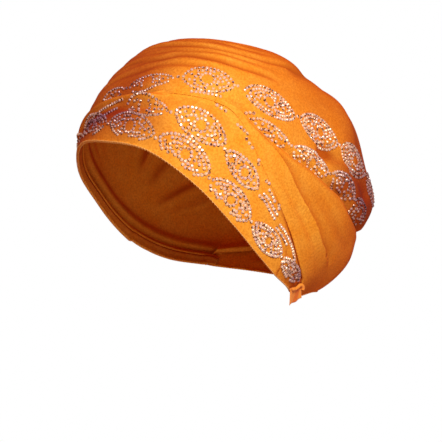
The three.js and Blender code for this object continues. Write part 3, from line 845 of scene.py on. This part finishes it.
# Crystal motifs, in millimetres and shares
motif = {
    "height": 20.0,
    "power": 1.4,
    "tip": 0.3,
    "reach": 0.45,  # how far an eye reaches to the next one's middle
    "endReach": 0.8,
    "pupil": 3.1,
    "pupilShare": 0.6,
    "ring": 1.3,  # how far outside the pupil its ring of stones stands
    "inward": 0.99,  # how far each row of stones lies inside the last, in pitches
    "sharp": 1.6,
    "innerPitch": 1.02,
    "shake": 0.12,
    "tries": 900,
    "firstSeed": 41,
    "facetSeeds": 100,
}

# Each eye: turn, rise, and its height and length as shares of the usual. Plain eyes have no ring inside
motifRows = {
    "band_lower": {
        "on": "band",
        "fine": 1.0,
        "eyes": [(-34, 0.2, 0.52, 1), (-13.5, 5.4, 0.74, 1), (9, 6.9, 0.84, 1), (33, 3.4, 1, 1),
                 (55, -5.4, 1, 1), (79.5, -14, 0.85, 1), (103, -20.3, 0.62, 1)],
        "plain": [0, 6],
        "arcs": [],
    },
    "band_upper": {
        "on": "band",
        "fine": 1.0,
        "eyes": [(11.8, 14.5, 0.6, 0.95), (34.3, 15.0, 0.95, 1), (55.9, 6.8, 0.78, 1)],
        "plain": [],
        "arcs": [
            [(1.5, 14.8), (-3.5, 13), (-8, 11.2), (-12, 9.4), (-17, 7)],
            [(-1, 12.2), (-5, 10.4), (-9, 8.6), (-13, 6.8)],
            [(30.8, 24.2), (32.6, 24.3), (34.4, 24.2), (37.2, 24), (40, 23.8)],
            [(46.2, 21.6), (49.7, 20.9), (53.1, 19.7), (56.8, 17.4), (59.2, 14.5), (60, 12.5)],
            [(51.5, 18.6), (55, 16.9)],
            [(65.9, 1.3), (68, 0.7), (70.3, -0.2), (72.4, -1.6), (74.8, -2.9), (77.3, -4.2)],
            [(67.5, 2.8), (70, 2.1), (72.5, 0.9), (74.9, -0.6), (77.8, -2)],
            [(66.2, 8.1), (69, 7.6), (71.4, 6.9), (73.3, 5.5), (74.9, 4), (76.4, 2.4), (77.6, 0.6)],
            [(69.2, 5.4), (71.5, 4.1), (73.7, 2.6)],
            [(81.8, -5.6), (85.5, -6.7), (88.5, -8.2), (91.5, -9.6), (94.5, -11.4), (98.6, -14.2),
             (101, -16.6)],
            [(80.5, -7.4), (84, -8.6), (87, -10), (90, -11.4)],
        ],
    },
    "crown": {
        "on": "crown",
        "fine": 0.92,
        "eyes": [(-8.5, 16.8, 0.3, 0.85), (7.6, 23.2, 0.5, 1), (28.6, 31.4, 0.9, 0.88),
                 (55.4, 37.6, 0.98, 1), (91, 41.4, 1.08, 1), (121, 36.5, 1, 1), (144.5, 28.3, 0.9, 1)],
        "plain": [0],
        "arcs": [],
    },
    "crown_lower": {
        "on": "crown",
        "fine": 0.92,
        "eyes": [(57, 26, 0.6, 1), (88.7, 27.2, 0.82, 1), (113.5, 24.6, 0.72, 1), (132.5, 18, 0.8, 1)],
        "plain": [0],
        "arcs": [
            [(26, 24.6), (31, 26.2), (36, 27.6)],
            [(45, 26.6), (47.4, 28.2), (50.1, 29), (52.9, 29.3), (56, 29.3), (59.3, 29.1), (62.8, 28.5)],
        ],
    },
}
surfaces = {"band": bandSurface, "crown": crownSurface}


def turnRise(d):
    d = unit(d)
    return np.degrees(np.arctan2(d[..., 0], -d[..., 1])), np.degrees(np.arcsin(np.clip(d[..., 2], -1, 1)))


# Whether stones at these places stand clear of the edges that cover the cloth
def shown(on, turn, rise):
    margin = asAngle(stone["margin"], turn, rise)
    if on == "band":
        clear = (rise > hemTop(turn) + margin) & (rise < drapeEdge(turn) - stone["lipMargin"] * margin)
        return clear & (turn < stone["bandUntil"])
    return (rise > crownCover(turn) + margin) & (turn > stone["crownFrom"])


# Points along a closed or open line, each a pitch from the next
def spread(line, pitch, closed=False):
    if closed:
        line = np.vstack([line, line[:1]])
    length = np.concatenate([[0], np.cumsum(np.linalg.norm(np.diff(line, axis=0), axis=1))])
    count = max(2, int(round(length[-1] / pitch)))
    at = np.linspace(0, length[-1], count, endpoint=not closed)
    return np.stack([np.interp(at, length, line[:, k]) for k in range(line.shape[1])], axis=1)


def eyeOutline(behind, ahead, half, steps=48):
    t = np.linspace(0, 1, steps)
    swing = np.cos(np.pi * t)
    x = swing * np.where(swing > 0, ahead, behind)
    y = motif["tip"] + (half - motif["tip"]) * np.sin(np.pi * t) ** motif["power"]
    return np.vstack([np.stack([x, y], 1), np.stack([x, -y], 1)[::-1]])


def isClear(spot, chosen, apart):
    return min(math.dist(spot, other) for other in chosen) > apart


# An outline of stones, a ring round the pupil, rows inside one another, and stones that fill what is left
def eyeStones(behind, ahead, half, ringed, fine, draw):
    pitch = fine * stone["pitch"]
    apart = 2 * fine * stone["radius"] + stone["slack"]
    chosen = [tuple(p) for p in spread(eyeOutline(behind, ahead, half), pitch, closed=True)]
    ringRadius = min(motif["pupil"], motif["pupilShare"] * half) + motif["ring"] if ringed else 0
    if ringed:
        count = int(2 * math.pi * ringRadius / pitch)
        angles = (np.arange(count) + draw.uniform()) * 2 * math.pi / count
        ring = [(ringRadius * math.cos(a), ringRadius * math.sin(a)) for a in angles]
        chosen += [spot for spot in ring if isClear(spot, chosen, apart)]
    inward = motif["inward"] * pitch
    while half > inward:
        shrink = inward * motif["sharp"]
        outline = eyeOutline(behind - shrink, ahead - shrink, half - inward)
        inner = spread(outline, motif["innerPitch"] * pitch, closed=True)
        for spot in inner + draw.uniform(-motif["shake"], motif["shake"], inner.shape):
            if math.hypot(*spot) > ringRadius and isClear(spot, chosen, apart):
                chosen.append(tuple(spot))
        inward += motif["inward"] * pitch
    spots = draw.uniform((-behind, -half), (ahead, half), (motif["tries"], 2))
    along = np.where(spots[:, 0] > 0, spots[:, 0] / ahead, spots[:, 0] / behind)
    reach = half * (1 - np.minimum(np.abs(along), 1) ** 2) ** (0.5 * motif["power"])
    spots = spots[(np.abs(spots[:, 1]) < reach) & (np.hypot(*spots.T) > ringRadius)]
    nearest = np.min(np.linalg.norm(spots[:, None] - np.array(chosen)[None], axis=2), axis=1)
    while (nearest > apart).any():
        k = np.argmin(np.where(nearest > apart, nearest, np.inf))
        chosen.append(tuple(spots[k]))
        nearest = np.minimum(nearest, np.linalg.norm(spots - spots[k], axis=1))
    return np.array(chosen)


def fineness(row, turn):
    return row["fine"] * float(mix(stone["fine"], 1, smooth(turn, *stone["fineUntil"])))


# Where stones stand on a surface: place, the way out, the way along and the painted shade there
def standing(surface, turn, rise, step=0.4):
    here, east, north = (
        placed(directions(turn + a, rise + b), surface(turn + a, rise + b)[0])
        for a, b in ((0, 0), (step, 0), (0, step))
    )
    east = east - here
    normal = unit(np.cross(east, north - here))
    return here, normal, unit(east), np.clip(surface(turn, rise)[2], 0, 1)


def rowStones(row, seed):
    draw = np.random.default_rng(seed)
    middles = directions(*np.array([eye[:2] for eye in row["eyes"]], float).T) * wrap["front"]
    spots, sizes = [], []
    last = len(middles) - 1
    for i, (middle, (turn, _, tall, long)) in enumerate(zip(middles, row["eyes"])):
        before, after = middles[max(i - 1, 0)], middles[min(i + 1, last)]
        normal = middle / np.linalg.norm(middle)
        forward = after - before
        forward = forward - normal * (forward @ normal)
        forward /= np.linalg.norm(forward)
        up = np.cross(normal, forward)
        atEnd = motif["endReach"] * np.linalg.norm(after - before)
        toLast, toNext = np.linalg.norm(middle - before), np.linalg.norm(middle - after)
        behind = motif["reach"] * (toLast if i else atEnd) * long
        ahead = motif["reach"] * (toNext if i < last else atEnd) * long
        fine = fineness(row, turn)
        local = eyeStones(behind, ahead, 0.5 * motif["height"] * tall, i not in row["plain"], fine, draw)
        spots.append(middle + local[:, :1] * forward + local[:, 1:] * up)
        sizes.append(np.full(len(local), fine))
        if i:
            gap = toLast - reached - behind
            count = max(1, int(round(gap / stone["pitch"])) - 1)
            share = (reached + gap * np.arange(1, count + 1) / (count + 1)) / toLast
            spots.append(mix(before, middle, share[:, None]))
            sizes.append(np.full(count, fine))
        reached = ahead
    for arc in row["arcs"]:
        fine = fineness(row, arc[0][0])
        spots.append(spread(pathOnForm(arc) * wrap["front"], fine * stone["pitch"]))
        sizes.append(np.full(len(spots[-1]), fine))
    spots, sizes = np.vstack(spots), np.concatenate(sizes)
    turn, rise = turnRise(spots)
    kept = []
    for k in np.flatnonzero(shown(row["on"], turn, rise)):
        if all(np.linalg.norm(spots[k] - spots[j]) > stone["radius"] * (sizes[k] + sizes[j]) for j in kept):
            kept.append(k)
    return *standing(surfaces[row["on"]], turn[kept], rise[kept]), sizes[kept]


def gemRing(count, radius, z, turned=0.0):
    angles = [(k + turned) * 2 * math.pi / count for k in range(count)]
    return [(radius * math.cos(a), radius * math.sin(a), z) for a in angles]


# A flat table, three facets from each of its edges to the girdle, short sides and a flat back
def gemShape():
    n = stone["facets"]
    verts = gemRing(n, stone["table"], stone["height"], 0.5) + gemRing(2 * n, 1, stone["girdle"])
    verts += gemRing(2 * n, *stone["back"])
    girdle, back = n, 3 * n
    faces = [tuple(range(n))]
    for i in range(n):
        g = [girdle + (2 * i + k) % (2 * n) for k in range(3)]
        faces += [((i - 1) % n, g[0], i), (i, g[0], g[1]), (i, g[1], g[2])]
    for k in range(2 * n):
        after = (k + 1) % (2 * n)
        faces.append((girdle + k, back + k, back + after, girdle + after))
    faces.append(tuple(back + k for k in range(2 * n - 1, -1, -1)))
    return np.array(verts), faces


# Facet colours, painted reflections: white, peach, lilac, gold, dusk and dark. How often each is a stone's
# table, and a side that faces the stone's dark edge, its bright edge or neither. White is a painted glint,
# dusk and dark are painted dark reflections, and shaded is painted shade for stones in the cloth's shade
glints = {
    "colours": [(1.0, 0.93, 0.74), (0.96, 0.71, 0.44), (0.82, 0.60, 0.58), (0.97, 0.63, 0.28),
                (0.42, 0.20, 0.09), (0.10, 0.035, 0.02)],
    "table": [0.12, 0.41, 0.30, 0.10, 0.05, 0.02],
    "dark": [0.00, 0.03, 0.04, 0.00, 0.38, 0.55],
    "bright": [0.55, 0.30, 0.12, 0.03, 0.00, 0.00],
    "side": [0.06, 0.38, 0.30, 0.20, 0.05, 0.01],
    "shaded": (0.34, 0.22, 0.40),
    "darkWay": 1.0,
    "darkFrom": 0.66,
    "brightTo": -0.6,
}


def crystals(name, row, seed):
    here, normal, east, shaded, sizes = rowStones(row, seed)
    draw = np.random.default_rng(seed + motif["facetSeeds"])
    shape, faces = gemShape()
    facing = np.array([shape[list(face), :2].mean(axis=0) for face in faces])
    facing /= np.maximum(np.linalg.norm(facing, axis=1, keepdims=True), 1e-6)
    verts, polygons, tints = [], [], []
    for k in range(len(here)):
        n = normal[k] + draw.normal(0, stone["tilt"], 3)
        n /= np.linalg.norm(n)
        spin = draw.uniform(0, 2 * math.pi)
        u = east[k] - n * (east[k] @ n)
        u /= np.linalg.norm(u)
        v = np.cross(n, u)
        u, v = math.cos(spin) * u + math.sin(spin) * v, math.cos(spin) * v - math.sin(spin) * u
        size = sizes[k] * stone["radius"] * mm * draw.uniform(*stone["sizes"])
        base = len(shape) * k
        verts.append(here[k] + size * (shape[:, :1] * u + shape[:, 1:2] * v + shape[:, 2:] * n))
        polygons += [tuple(base + i for i in face) for face in faces]
        # Painted glints: a random side of each stone is its bright edge, the other its dark edge
        darkWay = spin + glints["darkWay"]
        toDark = facing @ (math.cos(darkWay), math.sin(darkWay))
        kinds = np.where(toDark < glints["brightTo"], "bright", "side")
        kinds = np.where(toDark > glints["darkFrom"], "dark", kinds)
        kinds[0] = "table"
        tints += [draw.choice(len(glints["colours"]), p=glints[kind]) for kind in kinds]
    obj = meshObject(name, np.vstack(verts), polygons, smoothShade=False)
    tint = obj.data.color_attributes.new("glint", "FLOAT_COLOR", "CORNER")
    corners = [len(p.vertices) for p in obj.data.polygons]
    colour = np.array([(*c, 1.0) for c in glints["colours"]])[tints]
    # Painted shade: stones at the cloth's shade marks are darker and more lilac
    colour[:, :3] *= mix(1, np.array(glints["shaded"]), np.repeat(shaded, len(faces))[:, None])
    colour = np.repeat(colour, corners, axis=0)
    tint.data.foreach_set("color", colour.astype(np.float32).reshape(-1))
    print(name, len(here), "stones", len(obj.data.polygons), "faces")
    return obj


motifs = {}
for k, (name, row) in enumerate(motifRows.items()):
    motifs[name] = crystals(f"crystals_{name}_stones", row, motif["firstSeed"] + k)


# Materials
def newMaterial(name):
    material = bpy.data.materials.new(name)
    material.use_nodes = True
    material.node_tree.nodes.clear()
    return material, material.node_tree


def addNode(tree, kind, **values):
    node = tree.nodes.new(kind)
    for key, value in values.items():
        if key in node.inputs:
            node.inputs[key].default_value = value
        else:
            setattr(node, key, value)
    return node


def surfaceOut(tree, shader, kind="ShaderNodeOutputMaterial"):
    tree.links.new(shader, tree.nodes.new(kind).inputs["Surface"])


# Constants stand on the shader's own sockets. The colour and the bump are linked
def principled(tree, colour, values, bump=None):
    shader = addNode(tree, "ShaderNodeBsdfPrincipled", **values)
    tree.links.new(colour, shader.inputs["Base Color"])
    if bump:
        tree.links.new(bump.outputs["Normal"], shader.inputs["Normal"])
    surfaceOut(tree, shader.outputs["BSDF"])


# Fine nap of the jersey: small nubs for the bump, and a mottled tone
def napGroup():
    group = bpy.data.node_groups.new("jerseyNap", "ShaderNodeTree")
    for name, value in (("Nub Size", 1.1), ("Mottle Size", 14.0)):
        socket = group.interface.new_socket(name, in_out="INPUT", socket_type="NodeSocketFloat")
        socket.default_value = value
    for name in ("Nubs", "Tone", "Drift"):
        group.interface.new_socket(name, in_out="OUTPUT", socket_type="NodeSocketFloat")
    inside = group.nodes.new("NodeGroupInput")
    outside = group.nodes.new("NodeGroupOutput")
    place = group.nodes.new("ShaderNodeTexCoord")

    def grain(size, detail, rough, share=1000.0):
        scale = addNode(group, "ShaderNodeMath", operation="DIVIDE")
        scale.inputs[0].default_value = share
        group.links.new(size, scale.inputs[1])
        noise = addNode(group, "ShaderNodeTexNoise", Detail=detail, Roughness=rough)
        group.links.new(place.outputs["Object"], noise.inputs["Vector"])
        group.links.new(scale.outputs[0], noise.inputs["Scale"])
        return noise.outputs["Fac"]

    group.links.new(grain(inside.outputs["Nub Size"], 2.5, 0.6), outside.inputs["Nubs"])
    group.links.new(grain(inside.outputs["Nub Size"], 1.0, 0.5, 820.0), outside.inputs["Tone"])
    group.links.new(grain(inside.outputs["Mottle Size"], 3.0, 0.55), outside.inputs["Drift"])
    return group


nap = napGroup()


# Colours between two stops, each a value and its colour
def ramp(tree, value, stops):
    node = tree.nodes.new("ShaderNodeValToRGB")
    for element, (position, _) in zip(node.color_ramp.elements, stops):
        element.position = position
    for element, (_, colour) in zip(node.color_ramp.elements, stops):
        element.color = (*colour, 1)
    tree.links.new(value, node.inputs["Fac"])
    return node.outputs["Color"]


def mixColour(tree, share, a, b, blend="MIX"):
    node = tree.nodes.new("ShaderNodeMix")
    node.data_type, node.blend_type = "RGBA", blend
    for socket, value in zip((node.inputs[0], node.inputs[6], node.inputs[7]), (share, a, b)):
        if isinstance(value, (int, float, tuple)):
            socket.default_value = value
        else:
            tree.links.new(value, socket)
    return node.outputs[2]


def napIn(tree, **values):
    return addNode(tree, "ShaderNodeGroup", node_tree=nap, **values)


def markIn(tree, name):
    return addNode(tree, "ShaderNodeAttribute", attribute_name=name)


black, white = (0, 0, 0), (1, 1, 1)

# The jersey's oranges. Deep is painted shade where the cloth turns from the camera, crease is painted shade
# in its folds, and shaded is painted shade at the shade marks
jersey = {
    "lit": (0.96, 0.41, 0.04, 1),
    "worn": (0.94, 0.345, 0.022, 1),
    "deep": (0.80, 0.14, 0.003, 1),
    "crease": (0.56, 0.115, 0.005, 1),
    "shaded": (0.42, 0.13, 0.2),
    "tones": ((0.78, 0.70, 0.62), (1.05, 1.1, 1.18)),
    "toneShare": 0.8,
    "nubSize": 1.15,
    "bump": 0.55,
    "bumpDistance": 0.0007,
    "shader": {
        "Roughness": 0.92, "Specular IOR Level": 0.1, "Sheen Weight": 0.03, "Sheen Roughness": 0.5,
        "Sheen Tint": (1.0, 0.72, 0.45, 1),
    },
}


# Lit cloth drifts between two oranges; painted shade turns it deeper where it slants from the camera and in
# creases, and darkens it at the shade marks
def jerseyMaterial():
    material, tree = newMaterial("orangeJersey")
    nubs = napIn(tree, **{"Nub Size": jersey["nubSize"]})
    drift = ramp(tree, nubs.outputs["Drift"], [(0.35, black), (0.68, white)])
    colour = mixColour(tree, drift, jersey["lit"], jersey["worn"])
    low, high = jersey["tones"]
    tone = ramp(tree, nubs.outputs["Tone"], [(0.3, low), (0.7, high)])
    colour = mixColour(tree, jersey["toneShare"], colour, tone, "MULTIPLY")
    # Painted shade where the cloth slants away from the camera
    away = addNode(tree, "ShaderNodeLayerWeight", Blend=0.5)
    slant = ramp(tree, away.outputs["Facing"], [(0.2, black), (0.9, white)])
    deep = mixColour(tree, jersey["toneShare"], jersey["deep"], tone, "MULTIPLY")
    colour = mixColour(tree, slant, colour, deep)
    # Painted shade in the folds and at the shade marks
    depth = ramp(tree, markIn(tree, "crease").outputs["Fac"], [(0.08, black), (0.85, white)])
    colour = mixColour(tree, depth, colour, jersey["crease"])
    dim = ramp(tree, markIn(tree, "shade").outputs["Fac"], [(0, white), (1, jersey["shaded"])])
    colour = mixColour(tree, 1.0, colour, dim, "MULTIPLY")
    bump = addNode(tree, "ShaderNodeBump", Strength=jersey["bump"], Distance=jersey["bumpDistance"])
    tree.links.new(nubs.outputs["Nubs"], bump.inputs["Height"])
    principled(tree, colour, jersey["shader"], bump)
    return material


thread = {
    "low": (0.92, 0.42, 0.08),
    "high": (1.0, 0.66, 0.22),
    "nubSize": 0.5,
    "shader": {"Roughness": 0.6},
}


def threadMaterial():
    material, tree = newMaterial("paleThread")
    nubs = napIn(tree, **{"Nub Size": thread["nubSize"]})
    colour = ramp(tree, nubs.outputs["Tone"], [(0.3, thread["low"]), (0.7, thread["high"])])
    principled(tree, colour, thread["shader"])
    return material


satin = {
    "light": (0.96, 0.36, 0.04),
    "dark": (0.90, 0.25, 0.015),
    # painted shade in the satin's fold
    "crease": (0.72, 0.15, 0.008, 1),
    "weave": {"Scale": 900.0, "Distortion": 1.5, "Detail": 2.0},
    "bump": {"Strength": 0.15, "Distance": 0.0002},
    "shader": {"Roughness": 0.4, "Sheen Weight": 0.1},
}


# Satin drifts between two oranges, with painted shade along its fold
def satinMaterial():
    material, tree = newMaterial("orangeSatin")
    place = tree.nodes.new("ShaderNodeTexCoord")
    weave = addNode(tree, "ShaderNodeTexWave", **satin["weave"])
    tree.links.new(place.outputs["Object"], weave.inputs["Vector"])
    colour = ramp(tree, napIn(tree).outputs["Drift"], [(0.35, satin["light"]), (0.7, satin["dark"])])
    colour = mixColour(tree, markIn(tree, "crease").outputs["Fac"], colour, satin["crease"])
    bump = addNode(tree, "ShaderNodeBump", **satin["bump"])
    tree.links.new(weave.outputs["Fac"], bump.inputs["Height"])
    principled(tree, colour, satin["shader"], bump)
    return material


# The coating's painted reflection: amber where a stone faces the camera, lilac at a slant
crystal = {
    "facing": (1.0, 0.90, 0.76),
    "slanting": (0.88, 0.76, 1.0),
    "tintShare": 0.8,
    "shader": {"Roughness": 0.26, "Metallic": 0.2, "Coat Weight": 0.12, "Coat Roughness": 0.15},
}


# Painted facet reflections from the glint mark, tinted by the painted reflection of the coating
def crystalMaterial():
    material, tree = newMaterial("foiledCrystal")
    away = addNode(tree, "ShaderNodeLayerWeight", Blend=0.5)
    tint = ramp(tree, away.outputs["Facing"], [(0.1, crystal["facing"]), (0.6, crystal["slanting"])])
    glint = markIn(tree, "glint").outputs["Color"]
    principled(tree, mixColour(tree, crystal["tintShare"], glint, tint, "MULTIPLY"), crystal["shader"])
    return material


finishes = {
    "jersey": jerseyMaterial(),
    "hem": threadMaterial(),
    "satin": satinMaterial(),
    "crystal": crystalMaterial(),
}


def dress(obj, slot, *nodes, finish=None):
    obj.data.materials.clear()
    obj.data.materials.append(finishes[finish or slot])
    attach(obj, "root")
    if nodes:
        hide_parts(*nodes)


dress(crownCloth, "jersey", "crown")
dress(bandCloth, "jersey", "front_band")
dress(drapeCloth, "jersey", "side_drape")
dress(bandHem, "hem", "band_hem", finish="jersey")
dress(napeHem, "hem", "nape_hem", finish="jersey")
dress(bandStitches, "hem")
dress(napeStitches, "hem")
dress(tieCloth, "satin", "tie_end")
dress(tieCurl, "satin", "tie_loop")
dress(motifs["band_lower"], "crystal", "crystals_band_lower")
dress(motifs["band_upper"], "crystal", "crystals_band_upper")
dress(motifs["crown"], "crystal", "crystals_crown")
dress(motifs["crown_lower"], "crystal")

print("pieces declared")

# Studio: pale floor, soft light, and the camera at the photograph's angle
studio = {
    "floorDrop": 0.30,
    "floorSize": 24.0,
    "floorTone": (0.62, 0.60, 0.58, 1),
    "backdrop": (1, 1, 1, 1),
    "ambient": 0.3,
    "ambientColour": (1, 0.32, 0.12, 1),
    "keyAt": (63, 41, 1.15),  # azimuth, elevation and metres away
    "keyAim": (0, 0, 0.01),
    "keyEnergy": 12.6,
    "keySize": 0.36,
}


# The matrix of a lamp or a camera at a place that looks at a target
def aimed(place, target, up=(0, 0, 1)):
    away = np.array(place, float) - np.array(target, float)
    away /= np.linalg.norm(away)
    right = np.cross(up, away)
    right /= np.linalg.norm(right)
    turned = Matrix((right, np.cross(away, right), away)).transposed().to_4x4()
    turned.translation = place
    return turned


def around(azimuth, elevation, distance):
    a, e = math.radians(azimuth), math.radians(elevation)
    level = distance * math.cos(e)
    return level * math.sin(a), -level * math.cos(a), distance * math.sin(e)


def keyLight():
    lamp = bpy.data.lights.new("key_light", "AREA")
    lamp.size, lamp.energy = studio["keySize"], studio["keyEnergy"]
    addObject("key_light", lamp).matrix_world = aimed(around(*studio["keyAt"]), studio["keyAim"])


# The camera sees one shader, and the other gives the light
def cameraSees(tree, seen, soft):
    path = tree.nodes.new("ShaderNodeLightPath")
    blend = tree.nodes.new("ShaderNodeMixShader")
    tree.links.new(path.outputs["Is Camera Ray"], blend.inputs["Fac"])
    tree.links.new(soft.outputs[0], blend.inputs[1])
    tree.links.new(seen.outputs[0], blend.inputs[2])
    return blend.outputs["Shader"]


def paleFloor():
    s = studio["floorSize"] / 2
    z = -studio["floorDrop"]
    corners = [(-s, -s, z), (s, -s, z), (s, s, z), (-s, s, z)]
    floor = meshObject("pale_floor", corners, [(0, 1, 2, 3)], smoothShade=False)
    material, tree = newMaterial("paleFloor")
    seen = addNode(tree, "ShaderNodeEmission", Color=studio["backdrop"], Strength=1.0)
    soft = addNode(tree, "ShaderNodeBsdfDiffuse", Color=studio["floorTone"])
    surfaceOut(tree, cameraSees(tree, seen, soft))
    floor.data.materials.append(material)


def studioAir():
    world = bpy.data.worlds.new("studio")
    world.use_nodes = True
    tree = world.node_tree
    tree.nodes.clear()
    seen = addNode(tree, "ShaderNodeBackground", Color=studio["backdrop"], Strength=1.0)
    soft = addNode(tree, "ShaderNodeBackground", Color=studio["ambientColour"], Strength=studio["ambient"])
    surfaceOut(tree, cameraSees(tree, seen, soft), "ShaderNodeOutputWorld")
    return world


camera = {
    "place": (0.7433, -0.6237, 0.2419),
    "aim": (0.0054, 0.0018, -0.0119),
    "up": (-0.1286, 0.2217, 0.9666),
    "lens": 114.0,
    "sensor": 36.0,
    "near": 0.05,
    "far": 60.0,
}


def photoCamera():
    lens = bpy.data.cameras.new("camera")
    lens.lens, lens.sensor_width = camera["lens"], camera["sensor"]
    lens.clip_start, lens.clip_end = camera["near"], camera["far"]
    view = addObject("camera", lens)
    view.matrix_world = aimed(camera["place"], camera["aim"], camera["up"])
    return view


keyLight()
paleFloor()
scene = bpy.context.scene
scene.world = studioAir()
scene.camera = photoCamera()
scene.view_settings.view_transform = "Standard"
print("studio ready")
